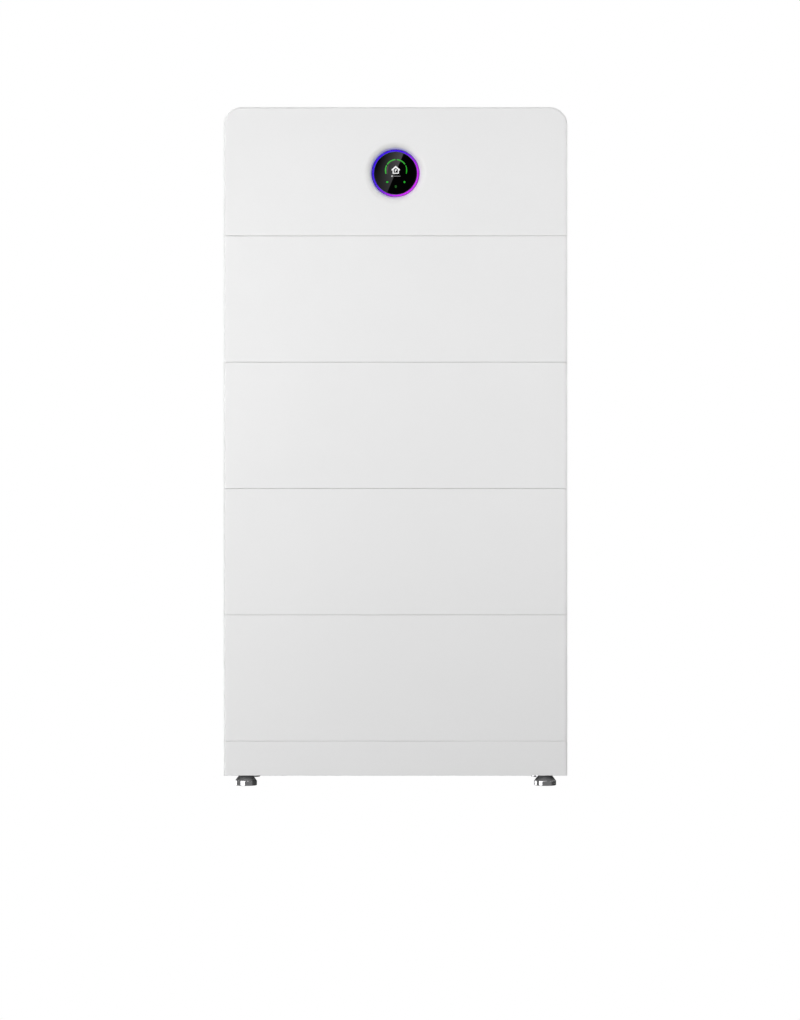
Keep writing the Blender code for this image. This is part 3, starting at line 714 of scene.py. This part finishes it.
def grip_mesh(grip_y, grip_z):
    """Finger pocket for the right-hand side, lip flush with the side panel."""
    lip = HALF - 0.2
    back = HALF - 29.0
    y0, y1 = grip_y - GRIP_HALF[0], grip_y + GRIP_HALF[0]
    g0, g1 = grip_z - GRIP_HALF[1], grip_z + GRIP_HALF[1]

    def ring(inset, x):
        return (outline(y0 + inset, y1 - inset, g0 + inset, g1 - inset, max(9 - inset, 1.2), 8), x)

    rings = [ring(0.9, back), ring(0.35, back + 0.6), ring(0.3, back + 1.5), ring(0.3, lip - 0.5), ring(0.45, lip - 0.15), ring(0.8, lip)]
    # over the lip and down into the pocket
    rings.append(ring(1.7, lip))
    for i in range(1, 7):
        a = math.radians(90 * i / 6)
        rings.append(ring(1.7 + 1.1 * math.sin(a), lip - 1.1 * (1 - math.cos(a))))
    rings.append(ring(2.9, back + 8.5))
    for i in range(1, 9):
        a = math.radians(90 * i / 8)
        rings.append(ring(2.9 + 5.0 * (1 - math.cos(a)), back + 8.0 - 5.5 * math.sin(a)))
    rings.append(ring(9.5, back + 2.5))
    return loft("grip", rings, "YZ")


def valve_mesh():
    """Breather valve: hexagon body with a domed, slotted cap; base at height 0."""
    base = bevel(prism("valve", disc(0, 0, 11.0, 6), 0, 3.2), lambda p: p.z > 3.1, 0.5, 2)
    cap = turned("cap", [(0, 6.2), (4.0, 6.2), (6.4, 5.6), (7.6, 4.4), (7.9, 3.0), (0, 3.0)], 40)
    body = carve(base, [], [cap])
    slots = []
    for i in range(8):
        s = box("slot", (5.6, -0.7, 3.5), (9.5, 0.7, 4.7))
        s.transform(Matrix.Rotation(math.tau * i / 8, 4, "Z"))
        slots.append(s)
    return carve(body, slots)


# ---------------------------------------------------------------------- build
def build_plinth():
    low, high = PL_LO[2], PL_HI[2]
    pts = outline(-HALF, HALF, FRONT_Y, REAR_Y, (FRONT_R, FRONT_R, REAR_R, REAR_R), 10)
    mesh = prism("plinth", pts, low, high)
    mesh = bevel(mesh, lambda p: abs(p.z - high) < 0.01, 0.8, 4)
    mesh = bevel(mesh, lambda p: abs(p.z - low) < 0.01, 0.6, 3)
    mesh = drop_faces(mesh, lambda c, n: n.z < -0.9 and c.z < low + 0.1)
    mesh = shell(mesh)
    spots = [(way, y, (low + high) / 2) for way in ("left", "right") for y in (-95.0, 75.0)]
    mesh = carve(mesh, [on_faces(SEAT, spots, 0)])
    piece("plinth_skin", mesh, WHITE, stands_for=("base_plinth",))
    piece("plinth_screws", on_faces(COUNTERSUNK, spots), SCREW)


def build_modules():
    for i in range(1, MODULES + 1):
        node = f"battery_{i}"
        low, high = mm_box(node + "_front_cover")
        z0, z1 = low[2] - 0.3, high[2] + 0.3
        piece(node + "_cover_skin", cover_mesh(z0, z1), WHITE, stands_for=(node + "_front_cover",))
        gy, gz = grip_at(node + "_grip_right")
        spots = [(way, y, z) for way in ("left", "right") for y in (-109.0, 103.0) for z in (z0 + 14, z1 - 14)]
        spots += [("back", x, z) for x in (-282.0, -94.0, 94.0, 282.0) for z in (z0 + 14, z1 - 14)]
        case = carve(case_mesh(z0, z1, gy, gz), [on_faces(SEAT, spots, 0)])
        piece(node + "_case_skin", case, WHITE, stands_for=(node + "_case",))
        right = grip_mesh(gy, gz)
        left = mirrored(right, "grip_left")
        piece(node + "_grip_right_cup", right, BLACK, stands_for=(node + "_grip_right",))
        piece(node + "_grip_left_cup", left, BLACK, stands_for=(node + "_grip_left",))
        piece(node + "_screws", on_faces(COUNTERSUNK, spots), SCREW)
        valve = placed(valve_mesh(), "back", (262.0, REAR_Y, z0 + 110))
        piece(node + "_breather", valve, BLACK)


def build_seals():
    """Thin seals pressed between the stacked housings, set back from the skin."""
    heights = [PL_HI[2] + 0.2]
    for i in range(1, MODULES + 1):
        heights.append(mm_box(f"battery_{i}_front_cover")[1][2] + 0.3)
    for i, z in enumerate(heights):
        rings = []
        for inset in (0.55, 3.2):
            rings.append(outline(
                -HALF + inset, HALF - inset, FRONT_Y + inset, REAR_Y - inset,
                (FRONT_R - inset * 0.8, FRONT_R - inset * 0.8, REAR_R - inset * 0.8, REAR_R - inset * 0.8), 8,
            ))
        bm = bmesh.new()
        rows = []
        for pts, h in ((rings[0], z - 0.14), (rings[0], z + 0.14), (rings[1], z + 0.14), (rings[1], z - 0.14)):
            rows.append([bm.verts.new((x * MM, y * MM, h * MM)) for x, y in pts])
        n = len(rows[0])
        for k in range(4):
            low, high = rows[k], rows[(k + 1) % 4]
            for a in range(n):
                b = (a + 1) % n
                bm.faces.new((low[a], low[b], high[b], high[a]))
        piece(f"stack_seal_{i + 1}", new_mesh("seal", bm), SEAL)


def head_points(inset=0.0, low=0.0, steps=28):
    r = HEAD_R - inset
    return outline(-HALF + inset, HALF - inset, HEAD_Z + low, TOP_Z - inset, (0, 0, r, r), steps)


def build_head():
    # front cover with the rolled-in opening
    mesh = prism("head_cover", head_points(0, 0.3), FRONT_Y, JOIN_Y, "XZ")
    mesh = bevel(mesh, lambda p: p.y < FRONT_Y + 0.01 and p.z > HEAD_Z + 0.4, FRONT_R, 8, middle=True)
    mesh = bevel(mesh, lambda p: p.z < HEAD_Z + 0.31 and p.y < JOIN_Y - 0.5, 0.5, 4, middle=True)
    hollow = prism("hollow", head_points(SHEET, 0.3 + SHEET, 12), FRONT_Y + SHEET, JOIN_Y + 5, "XZ")
    cover = carve(mesh, [hollow])
    # the skin rolls in round the display: an arc of 14 mm, then a cone down to the ring
    hole_r, roll, rim_r = 41.9, 14.0, 55.2
    collar = placed(
        turned("collar", [(0, 1.2), (rim_r + 2.0, 1.2), (rim_r + 2.0, 14.6), (0, 14.6)], 128),
        "back", (DISP_X, FRONT_Y, DISP_Z),
    )
    prof = [(0, -4.0), (rim_r + 0.4, -4.0), (rim_r + 0.4, -0.0005)]
    steps = 16
    for i in range(steps + 1):
        a = math.radians(50.0 * i / steps)
        prof.append((rim_r - roll * math.sin(a), roll * (1 - math.cos(a))))
    prof += [(hole_r, 9.9), (hole_r, 30.0), (0, 30.0)]
    trumpet = placed(turned("flare", prof, 128), "back", (DISP_X, FRONT_Y, DISP_Z))
    pocket = placed(turned("pocket", [(0, 10.35), (51.0, 10.35), (51.0, 30.0), (0, 30.0)], 128), "back", (DISP_X, FRONT_Y, DISP_Z))
    cover = carve(carve(cover, [trumpet], [collar]), [pocket])
    piece("head_cover_skin", cover, WHITE, stands_for=("head_front_cover",), angle=28)

    # case
    low = HEAD_Z + 0.2
    mesh = prism("head_case", head_points(0, 0.2), CASE_Y0, REAR_Y, "XZ")
    mesh = bevel(mesh, lambda p: p.y > REAR_Y - 0.01 and p.z > low + 0.1, 4.0, 6, middle=True)
    mesh = bevel(mesh, lambda p: p.z < low + 0.01 and p.y > CASE_Y0 + 0.5, 1.0, 3, middle=True)
    hollow = prism("hollow", head_points(SHEET, 0.2 + SHEET, 12), CASE_Y0 - 8, REAR_Y - SHEET, "XZ")
    slow, shigh = mm_box("service_panel")
    ry, rz = (slow[1] + shigh[1]) / 2, (slow[2] + shigh[2]) / 2
    window = prism("window", outline(ry - 75, ry + 75, rz - 60, rz + 60, 12, 10), HALF - 20, HALF + 10, "YZ")
    cuts = [window]
    # louvres in the rear panel
    for row in range(6):
        z = 1010 + row * 14
        for x in (-110.0, -55.0, 0.0, 55.0, 110.0):
            cuts.append(prism("louvre", outline(x - 20, x + 20, z - 2, z + 2, 1.98, 6), REAR_Y - 8, REAR_Y + 8, "XZ"))
    spots = [(way, y, z) for way in ("left", "right") for y in (-109.0, 103.0) for z in (HEAD_Z + 14, TOP_Z - 44)]
    spots += [("back", x, HEAD_Z + 14) for x in (-282.0, -94.0, 94.0, 282.0)]
    spots += [("back", x, TOP_Z - 16) for x in (-262.0, -94.0, 94.0, 262.0)]
    cuts = [window, joined("louvres", cuts[1:]), on_faces(SEAT, spots, 0)]
    case = triangulated(carve(mesh, [hollow]))
    for cut in cuts:
        case = carve(case, [cut])
    piece("head_case_skin", case, WHITE, stands_for=("head_case",), angle=28)
    # solid black plate behind the louvres, as an insect screen; it also fills the slots with painted shade
    shade_plate = box("shade_plate", (-140, REAR_Y - 3.4, 1000), (140, REAR_Y - 2.6, 1090))
    piece("louvre_shade_plate", shade_plate, BLACK)
    piece("head_screws", on_faces(COUNTERSUNK, spots), SCREW)
    return ry, rz


def build_display():
    centre = (DISP_X, 0, DISP_Z)
    # light guide: a rounded ring
    top, bottom = -RING_LO[1], -RING_HI[1]
    r0, r1 = 37.9, 40.7
    prof = [(r0, bottom), (r0, top - 1.0)]
    prof += [(r0 + 1.0 - 1.0 * math.cos(math.radians(a)), top - 1.0 + 1.0 * math.sin(math.radians(a))) for a in (18, 36, 54, 72, 90)]
    prof += [(r1 - 1.0 + 1.0 * math.sin(math.radians(a)), top - 1.0 + 1.0 * math.cos(math.radians(a))) for a in (0, 18, 36, 54, 72, 90)]
    prof += [(r1, bottom)]
    ring = placed(turned("ring", prof, 160, close=True), "front", centre)
    piece("light_guide", ring, RING_MAT, stands_for=("display_light_ring",), angle=50)
    # lens with a polished rounded rim
    top, bottom = -LENS_LO[1], -LENS_HI[1]
    prof = [(0, top)] + [(r, top) for r in (12.0, 24.0, 35.6)]
    prof += [(35.6 + 1.3 * math.sin(math.radians(a)), top - 1.3 + 1.3 * math.cos(math.radians(a))) for a in (15, 30, 45, 60, 75, 90)]
    prof += [(36.9, bottom), (0, bottom)]
    lens = placed(turned("lens", prof, 160), "front", centre)
    piece("cover_glass", lens, LENS_PAINTED_SHEEN_MAT, stands_for=("display_lens",), angle=40)

    face = -top           # y of the glass surface
    lift = 0.08

    def flat(name, shapes, mat):
        meshes = []
        for pts in shapes:
            bm = bmesh.new()
            lo = [bm.verts.new(((DISP_X + x) * MM, (face + 0.02) * MM, (DISP_Z + z) * MM)) for x, z in pts]
            hi = [bm.verts.new(((DISP_X + x) * MM, (face - lift) * MM, (DISP_Z + z) * MM)) for x, z in pts]
            n = len(pts)
            for a in range(n):
                b = (a + 1) % n
                bm.faces.new((lo[a], lo[b], hi[b], hi[a]))
            bm.faces.new(hi)
            bm.faces.new(lo[::-1])
            bmesh.ops.triangulate(bm, faces=[f for f in bm.faces if len(f.verts) > 4])
            meshes.append(new_mesh(name, bm))
        piece(name, joined(name, meshes), mat, weighted=False)

    ux, uz = 1.05, 4.9           # centre of the gauge

    def band(r, w, a0, a1, steps=28):
        outer = arc(ux, uz, r + w / 2, a0, a1, steps)
        inner = arc(ux, uz, r - w / 2, a1, a0, steps)
        cap1 = arc(ux + r * math.cos(math.radians(a1)), uz + r * math.sin(math.radians(a1)), w / 2, a1, a1 + 180, 6)[1:-1]
        cap0 = arc(ux + r * math.cos(math.radians(a0)), uz + r * math.sin(math.radians(a0)), w / 2, a0 + 180, a0 + 360, 6)[1:-1]
        return outer + cap1 + inner + cap0

    segments = [(-17.0, 25.6, 1.35), (36.4, 83.6, 1.9), (96.4, 143.6, 2.0), (154.4, 197.0, 1.9)]
    flat("gauge_segments", [band(18.65, w, a, b) for a, b, w in segments], GREEN_LIT)
    flat("gauge_track", [band(16.2, 0.5, 60, 208, 48)], DIM_LIT)

    # home pictogram in the middle: a house outline with a bolt in it
    cx, cz = 0.4, uz + 0.6
    house = [(-7.3, 0.9), (0.0, 7.2), (7.3, 0.9), (7.3, -0.9), (5.4, -0.9), (5.4, -6.6), (-5.4, -6.6), (-5.4, -0.9), (-7.3, -0.9)]
    room = [(-3.7, 0.6), (0.0, 3.9), (3.7, 0.6), (3.7, -4.9), (-3.7, -4.9)]
    bolt = [(0.9, 3.0), (-2.1, -1.15), (-0.3, -1.15), (-0.9, -4.3), (2.1, -0.15), (0.3, -0.15)]

    def raised(name, outer, inner, mat):
        """Outline with a hole: a closed frame, cut from a plate."""
        plate = prism(name, [(DISP_X + cx + x, DISP_Z + cz + z) for x, z in outer], face - lift, face + 0.02, "XZ")
        hole = prism(name, [(DISP_X + cx + x, DISP_Z + cz + z) for x, z in inner], face - 1.0, face + 1.0, "XZ")
        piece(name, carve(plate, [hole]), mat, weighted=False)

    raised("pictogram_frame", house, room, MARK_LIT)
    flat("pictogram_marks", [[(cx + x * 0.8, cz + z * 0.8) for x, z in bolt]], MARK_LIT)
    flat("caption_dot", [disc(-6.0, -5.3, 1.4, 28)], DOT_LIT)
    flat("caption_bar", [outline(-3.6, 8.6, -5.95, -4.75, 0.59, 5)], BAR_LIT)
    flat("status_icons", [outline(-16.2, -12.6, -17.0, -14.3, 1.0, 5), disc(15.6, -15.6, 1.65, 32)], ICON_LIT)
    drop = arc(0.5, -25.0, 2.0, 205, 335, 14) + arc(0.5 - 3.4, -24.6, 5.8, 3, 33, 6) + [(0.5, -21.2)] + arc(0.5 + 3.4, -24.6, 5.8, 147, 177, 6)
    flat("leaf_icon", [[(0.5 + (x - 0.5) * 0.82, -23.6 + (z + 24.1) * 0.82) for x, z in drop]], LEAF_LIT)


def build_feet():
    for end in ("front", "rear"):
        for side in ("left", "right"):
            low, high = mm_box(f"foot_pad_{end}_{side}")
            x, y = (low[0] + high[0]) / 2, (low[1] + high[1]) / 2
            R = 19.3
            prof = [(0, 0.0), (R - 1.4, 0.0)]
            prof += arc(R - 1.2, 1.2, 1.2, -80, 0, 5)
            prof += [(R, 3.6), (R - 0.15, 3.75), (R - 0.15, 3.95), (R, 4.1)]
            prof += [(R, 7.9)]
            prof += arc(R - 0.8, 7.9, 0.8, 15, 75, 4)
            prof += [(R - 1.4, 8.9), (18.2, 9.5), (12.6, 16.6)]
            prof += arc(11.6, 16.4, 1.2, 15, 90, 4)
            prof += [(11.0, 17.6), (11.0, 18.2), (6.4, 18.2), (5.9, 17.4), (5.9, 9.2), (0, 9.2)]
            mesh = moved(turned("pad", prof, 96), (x, y, 0))
            piece(f"foot_{end}_{side}_pad_turned", mesh, FOOT, body=f"foot_{end}_{side}_pad", stands_for=(f"foot_pad_{end}_{side}",), angle=32)


def build_brackets():
    for side, sign in (("left", -1), ("right", 1)):
        low, high = mm_box(f"wall_bracket_{side}")
        x0, x1 = low[0], high[0]
        xc = (x0 + x1) / 2
        back, wall = low[1], high[1]
        t, r = 3.0, 2.5
        # centre line of the folded strip, with bend radii
        pts = []
        pts += [(back + t / 2, low[2])]
        pts += arc(back + t / 2 + r, 1143.5 - r, r, 180, 90, 6)
        pts += arc(wall - t / 2 - r, 1143.5 + r, r, 270, 360, 6)
        pts += [(wall - t / 2, high[2])]
        left, right = [], []
        for k, p in enumerate(pts):
            a = pts[max(k - 1, 0)]
            b = pts[min(k + 1, len(pts) - 1)]
            d = Vector((b[0] - a[0], b[1] - a[1])).normalized()
            n = Vector((-d.y, d.x)) * t / 2
            left.append((p[0] + n.x, p[1] + n.y))
            right.append((p[0] - n.x, p[1] - n.y))
        mesh = prism("bracket", left + right[::-1], x0, x1, "YZ")
        cuts = [
            prism("slot", outline(xc - 11, xc + 11, 1159, 1168, 4.45, 8), wall - 12, wall + 8, "XZ"),
            prism("corner", [(x0 - 1, high[2] + 1), (x0 - 1, high[2] - 8), (x0 + 8, high[2] + 1)], wall - 12, wall + 8, "XZ"),
            prism("corner", [(x1 + 1, high[2] + 1), (x1 - 8, high[2] + 1), (x1 + 1, high[2] - 8)], wall - 12, wall + 8, "XZ"),
        ]
        mesh = carve(mesh, cuts)
        piece(f"bracket_{side}_folded", mesh, ZINC, stands_for=(f"wall_bracket_{side}",))
        screws = [placed(PAN, "back", (xc + dx, back + t, low[2] + dz)) for dx in (-18, 18) for dz in (14, 38)]
        piece(f"bracket_{side}_screws", joined("bracket_screws", screws), SCREW)


def build_service(ry, rz):
    floor = 267.0
    lip = HALF - 0.2

    def ring(inset, x):
        return (outline(ry - 75 + inset, ry + 75 - inset, rz - 60 + inset, rz + 60 - inset, max(12 - inset, 1.5), 10), x)

    rings = [ring(1.5, 264.0), ring(0.5, 264.6), ring(0.3, 265.5), ring(0.3, lip - 0.6), ring(0.5, lip - 0.15), ring(0.9, lip), ring(2.0, lip)]
    for i in range(1, 7):
        a = math.radians(90 * i / 6)
        rings.append(ring(2.0 + 1.3 * math.sin(a), lip - 1.3 * (1 - math.cos(a))))
    rings.append(ring(3.3, floor + 3.0))
    for i in range(1, 7):
        a = math.radians(90 * i / 6)
        rings.append(ring(3.3 + 3.0 * (1 - math.cos(a)), floor + 3.0 - 3.0 * math.sin(a)))
    rings.append(ring(8.0, floor))
    tray = loft("tray", rings, "YZ")
    holes = []
    spots = {}
    for node, r in (("isolator_knob", 5.4), ("start_button", 9.4), ("power_terminal_positive", 8.5), ("power_terminal_negative", 8.5), ("comms_port", 10.5)):
        low, high = mm_box(node)
        y, z = (low[1] + high[1]) / 2, (low[2] + high[2]) / 2
        spots[node] = (y, z)
        holes.append(placed(turned("hole", [(0, -20), (r, -20), (r, 10), (0, 10)], 40), "right", (floor, y, z)))
    piece("service_tray", carve(tray, holes), GREY, stands_for=("service_panel",))
    screws = [placed(PAN, "right", (floor, ry + dy, rz + dz)) for dy in (-64, 64) for dz in (-49, 49)]
    piece("service_screws", joined("service_screws", screws), SCREW)
    return spots, floor


def build_controls(spots, floor):
    face = floor + 0.3
    # rotary handle
    y, z = spots["isolator_knob"]
    prof = [(0, 10.0), (17.0, 10.0)] + arc(19.4, 8.4, 1.6, 90, 0, 6) + [(21.0, 1.2)] + arc(20.2, 0.8, 0.8, 0, -90, 4) + [(5.0, 0.0), (5.0, -13.5), (4.5, -14.0), (0, -14.0)]
    body = turned("knob", prof, 96)
    flutes = []
    for i in range(24):
        f = turned("flute", [(0, -2), (1.3, -2), (1.3, 12), (0, 12)], 16)
        f.transform(Matrix.Rotation(math.tau * i / 24, 4, "Z") @ Matrix.Translation((21.6 * MM, 0, 0)))
        flutes.append(f)
    body = carve(body, flutes)
    rings = []
    for inset, h in ((-1.0, 9.0), (-1.0, 10.4), (0.0, 12.0), (0.2, 24.5), (0.6, 26.0), (1.4, 26.8), (2.4, 27.0)):
        rings.append((outline(-5.5 + inset, 5.5 - inset, -20 + inset, 20 - inset, max(4 - inset * 0.5, 1.0), 8), h))
    bar = loft("bar", rings)
    body = carve(body, [], [bar])
    piece("isolator_handle", placed(body, "right", (face, y, z)), BLACK, body="isolator_knob_body", stands_for=("isolator_knob",))
    pointer = prism("pointer", outline(-1.2, 1.2, 9.0, 17.5, 1.1, 5), 27.0, 27.25)
    piece("isolator_pointer", placed(pointer, "right", (face - 0.2, y, z)), MARK_PAINT, body="isolator_knob_body")

    # start button
    y, z = spots["start_button"]
    prof = [(0, 8.3), (3.0, 8.4), (5.6, 8.7), (6.9, 9.0)] + arc(7.9, 8.0, 1.0, 90, 0, 5) + [(8.9, -4.2), (12.0, -4.2), (12.0, -8.0), (0, -8.0)]
    piece("start_button_cap", placed(turned("button", prof, 72), "right", (face, y, z)), STEEL, body="start_button_body", stands_for=("start_button",))
    led = turned("led", [(11.2, 0.0), (11.2, 0.7), (11.5, 1.0), (12.6, 1.0), (12.9, 0.7), (12.9, 0.0)], 72, close=True)
    piece("start_button_ring", placed(led, "right", (floor, y, z)), LED_LIT)

    # power terminals
    for name, mat in (("power_terminal_positive", ORANGE), ("power_terminal_negative", BLACK)):
        y, z = spots[name]
        prof = [(0, 9.0), (4.6, 9.0), (4.6, 19.2), (5.2, 20.0), (6.4, 20.0), (7.1, 19.5), (7.4, 18.8), (7.4, 8.0), (11.4, 8.0), (12.2, 7.6), (12.5, 6.9), (12.5, 1.0), (12.0, 0.0), (8.0, 0.0), (8.0, -15.4), (7.4, -16.0), (0, -16.0)]
        shell_mesh = turned("terminal", prof, 72)
        grooves = []
        for i in range(16):
            g = turned("groove", [(0, 0.8), (0.9, 0.8), (0.9, 7.0), (0, 7.0)], 12)
            g.transform(Matrix.Rotation(math.tau * i / 16, 4, "Z") @ Matrix.Translation((12.7 * MM, 0, 0)))
            grooves.append(g)
        piece(name + "_socket", placed(carve(shell_mesh, grooves), "right", (face, y, z)), mat, stands_for=(name,))
        pin = turned("pin", [(0, 16.5), (1.6, 16.5), (2.6, 15.4), (3.0, 14.0), (3.0, 8.9), (0, 8.9)], 40)
        piece(name + "_pin", placed(pin, "right", (face, y, z)), BRASS)

    # data port with a knurled cap on a short strap
    y, z = spots["comms_port"]
    prof = [(0, 16.2), (8.0, 16.2), (9.2, 17.0), (12.0, 17.0)] + arc(12.2, 15.7, 1.3, 80, 0, 5) + [(13.5, 3.6), (12.6, 3.2), (12.6, 2.6), (13.5, 2.2), (13.5, 0.4), (13.1, 0.0), (10.0, 0.0), (10.0, -17.4), (9.4, -18.0), (0, -18.0)]
    cap = turned("cap", prof, 72)
    ribs = []
    for i in range(20):
        g = turned("groove", [(0, 4.4), (1.0, 4.4), (1.0, 14.6), (0, 14.6)], 12)
        g.transform(Matrix.Rotation(math.tau * i / 20, 4, "Z") @ Matrix.Translation((13.8 * MM, 0, 0)))
        ribs.append(g)
    piece("comms_port_cap", placed(carve(cap, ribs), "right", (face, y, z)), BLACK, stands_for=("comms_port",))

    # generic marks: on/off strokes and polarity, in white paint
    marks = []
    ky, kz = spots["isolator_knob"]
    x0, x1 = floor - 0.02, floor + 0.12

    def mark(y0, y1, z0, z1, r=0.5):
        marks.append(prism("mark", outline(y0, y1, z0, z1, r, 4), x0, x1, "YZ"))

    mark(ky - 0.7, ky + 0.7, kz + 24.0, kz + 30.0)                        # on
    ring = turned("off", [(2.2, 0), (3.3, 0), (3.3, 0.14), (2.2, 0.14)], 40, close=True)
    marks.append(placed(ring, "right", (floor - 0.02, ky + 27.5, kz)))      # off
    py, pz = spots["power_terminal_positive"]
    mark(py - 3.2, py + 3.2, pz + 17.2, pz + 18.6)
    mark(py - 0.7, py + 0.7, pz + 14.7, pz + 21.1)
    ny, nz = spots["power_terminal_negative"]
    mark(ny - 3.2, ny + 3.2, nz - 18.6, nz - 17.2)
    piece("panel_marks", joined("panel_marks", marks), MARK_PAINT)


MARK_PAINT = plastic("marking_white", (0.78, 0.78, 0.78), (0.70, 0.70, 0.70), (0.45, 0.6), 1800.0, 0.01)

build_plinth()
build_modules()
build_seals()
RY, RZ = build_head()
build_display()
build_feet()
build_brackets()
SPOTS, FLOOR_X = build_service(RY, RZ)
build_controls(SPOTS, FLOOR_X)

# --------------------------------------- CAD nodes that stay get real finishes
FINISH = {
    "galvanised_steel": ZINC, "dark_chrome": FOOT, "bright_steel": STEEL, "black_plastic": BLACK,
    "grey_plastic": GREY, "orange_plastic": ORANGE, "circuit_board": BOARD, "cell_block": CELLS,
    "white_powder_coat": WHITE_PAINTED_SHADE, "display_glass": LENS_PAINTED_SHEEN_MAT, "light_ring": RING_MAT,
}
SLOT_OF = {s["node"]: s["material_slot"] for s in frame["record"]["subparts"]}
for name, node in frame["nodes"].items():
    mat = FINISH[SLOT_OF[name]]
    if not node.material_slots:
        node.data.materials.append(mat)
    for s in node.material_slots:
        s.material = mat

# ------------------------------------------------------- floor, light, camera
def stage_floor():
    """Plain white studio floor that glows evenly, as an overlit sweep does."""
    pts = outline(-14000, 14000, -14000, 14000, 0)
    mesh = loft("floor", [(pts, -4.0), (pts, 0.0)])
    s = Shade("floor_white", (0.0, 0.0, 0.0), 0.9, 0.0, 0.0)
    s.bsdf.inputs["Emission Color"].default_value = (1, 1, 1, 1)
    s.bsdf.inputs["Emission Strength"].default_value = 1.0
    mesh.materials.append(s.mat)
    floor = bpy.data.objects.new("stage_floor", mesh)
    bpy.context.scene.collection.objects.link(floor)
    floor.visible_diffuse = False
    floor.visible_glossy = False
    floor.visible_shadow = False


stage_floor()


def area(name, at, aim, size, power, card=False):
    """Soft box; a card only shows in reflections."""
    data = bpy.data.lights.new(name, "AREA")
    data.shape = "RECTANGLE"
    data.size, data.size_y = size
    data.energy = power
    obj = bpy.data.objects.new(name, data)
    obj.location = at
    obj.rotation_euler = (Vector(aim) - Vector(at)).to_track_quat("-Z", "Y").to_euler()
    obj.visible_camera = False
    obj.visible_diffuse = not card
    bpy.context.scene.collection.objects.link(obj)
    return obj


# low cards beside the feet: they show as bright bands on the polished rims
area("card_left", (-0.865, -1.043, -0.08), (-0.262, -0.105, 0.0), (0.88, 0.5), 5.0, card=True)
area("card_left_rear", (-0.981, 0.575, -0.08), (-0.262, -0.105, 0.0), (0.81, 0.5), 4.5, card=True)
# the main light is low and to the left, with fills on both sides and a soft ceiling
area("key_left", (-1.0, -3.5, 0.9), (0, 0, 0.7), (1.0, 1.0), 45.5)
area("high_left", (-3.0, -3.2, 2.0), (0, 0, 0.7), (1.5, 2.0), 22.0)
area("high_front", (-1.9, -3.9, 2.5), (0, 0, 0.7), (0.8, 0.8), 8.7)
area("front_fill", (0.6, -2.4, 0.92), (0, 0, 0.7), (0.8, 0.8), 9.6)
area("front_left", (-2.2, -1.2, 1.0), (0, 0, 0.7), (0.8, 0.8), 15.0)
area("side_left", (-2.6, -0.2, 1.0), (0, 0, 0.7), (0.8, 0.8), 3.0)
area("side_right", (2.4, -0.2, 1.0), (0, 0, 0.7), (0.8, 0.8), 8.0)
area("front_right", (2.2, -1.2, 1.0), (0, 0, 0.7), (0.8, 0.8), 11.2)
area("top_soft", (0.1, 0.15, 2.0), (0, 0.03, 1.2), (1.0, 0.7), 1.6)
area("left_soft", (-1.5, 0.55, 0.66), (-0.3, 0.0, 0.6), (0.7, 1.3), 2.0)
area("right_soft", (1.5, 0.55, 0.66), (0.3, 0.0, 0.6), (0.7, 1.3), 4.0)
area("back_soft", (-1.5, 4.5, 2.2), (0, 0, 0.7), (2.4, 2.4), 150)


def studio_world():
    """White backdrop; a soft ceiling for the fill; a grey room in reflections."""
    world = bpy.data.worlds.new("studio")
    bpy.context.scene.world = world
    world.use_nodes = True
    tree = world.node_tree

    def node(kind, **settings):
        n = tree.nodes.new(kind)
        for key, value in settings.items():
            setattr(n, key, value)
        return n

    def math_node(operation, a, b, clamp=False):
        n = node("ShaderNodeMath", operation=operation, use_clamp=clamp)
        for i, value in enumerate((a, b)):
            if isinstance(value, (int, float)):
                n.inputs[i].default_value = value
            else:
                tree.links.new(value, n.inputs[i])
        return n.outputs[0]

    way = node("ShaderNodeTexCoord").outputs["Generated"]
    split = node("ShaderNodeSeparateXYZ")
    tree.links.new(way, split.inputs[0])
    x, y, z = split.outputs
    fill = tree.nodes["Background"]
    fill.inputs["Color"].default_value = (1, 1, 1, 1)
    tree.links.new(math_node("MULTIPLY", math_node("MAXIMUM", z, 0.0), 0.50), fill.inputs["Strength"])
    room = node("ShaderNodeBackground")
    room.inputs["Color"].default_value = (1, 1, 1, 1)
    behind = math_node("ADD", math_node("MULTIPLY", x, 0.75), math_node("MULTIPLY", y, 0.66))
    shade = node("ShaderNodeMapRange", interpolation_type="SMOOTHSTEP")
    for key, value in (("From Min", 0.35), ("From Max", 0.65), ("To Min", 0.29), ("To Max", 0.09)):
        shade.inputs[key].default_value = value
    tree.links.new(behind, shade.inputs["Value"])
    tree.links.new(shade.outputs["Result"], room.inputs["Strength"])
    backdrop = node("ShaderNodeBackground")
    backdrop.inputs["Color"].default_value = (1, 1, 1, 1)
    backdrop.inputs["Strength"].default_value = 1.0
    path = node("ShaderNodeLightPath")
    first, second = node("ShaderNodeMixShader"), node("ShaderNodeMixShader")
    tree.links.new(path.outputs["Is Glossy Ray"], first.inputs[0])
    tree.links.new(fill.outputs[0], first.inputs[1])
    tree.links.new(room.outputs[0], first.inputs[2])
    tree.links.new(path.outputs["Is Camera Ray"], second.inputs[0])
    tree.links.new(first.outputs[0], second.inputs[1])
    tree.links.new(backdrop.outputs[0], second.inputs[2])
    tree.links.new(second.outputs[0], tree.nodes["World Output"].inputs["Surface"])


studio_world()

scene = bpy.context.scene
scene.view_settings.view_transform = "Standard"
scene.view_settings.look = "None"

cam_data = bpy.data.cameras.new("camera")
cam = bpy.data.objects.new("camera", cam_data)
DIST, CAM_Z, CENTRE_Z, SPAN = 8.0, 0.665, 0.48264, 1.7802
cam.location = (0.00785, FRONT_Y * MM - DIST, CAM_Z)
cam.rotation_euler = (math.pi / 2, 0, 0)
cam_data.sensor_width = 36.0
cam_data.lens = 36.0 * DIST / SPAN
cam_data.shift_y = (CENTRE_Z - CAM_Z) / SPAN
cam_data.clip_end = 60.0
scene.collection.objects.link(cam)
scene.camera = cam
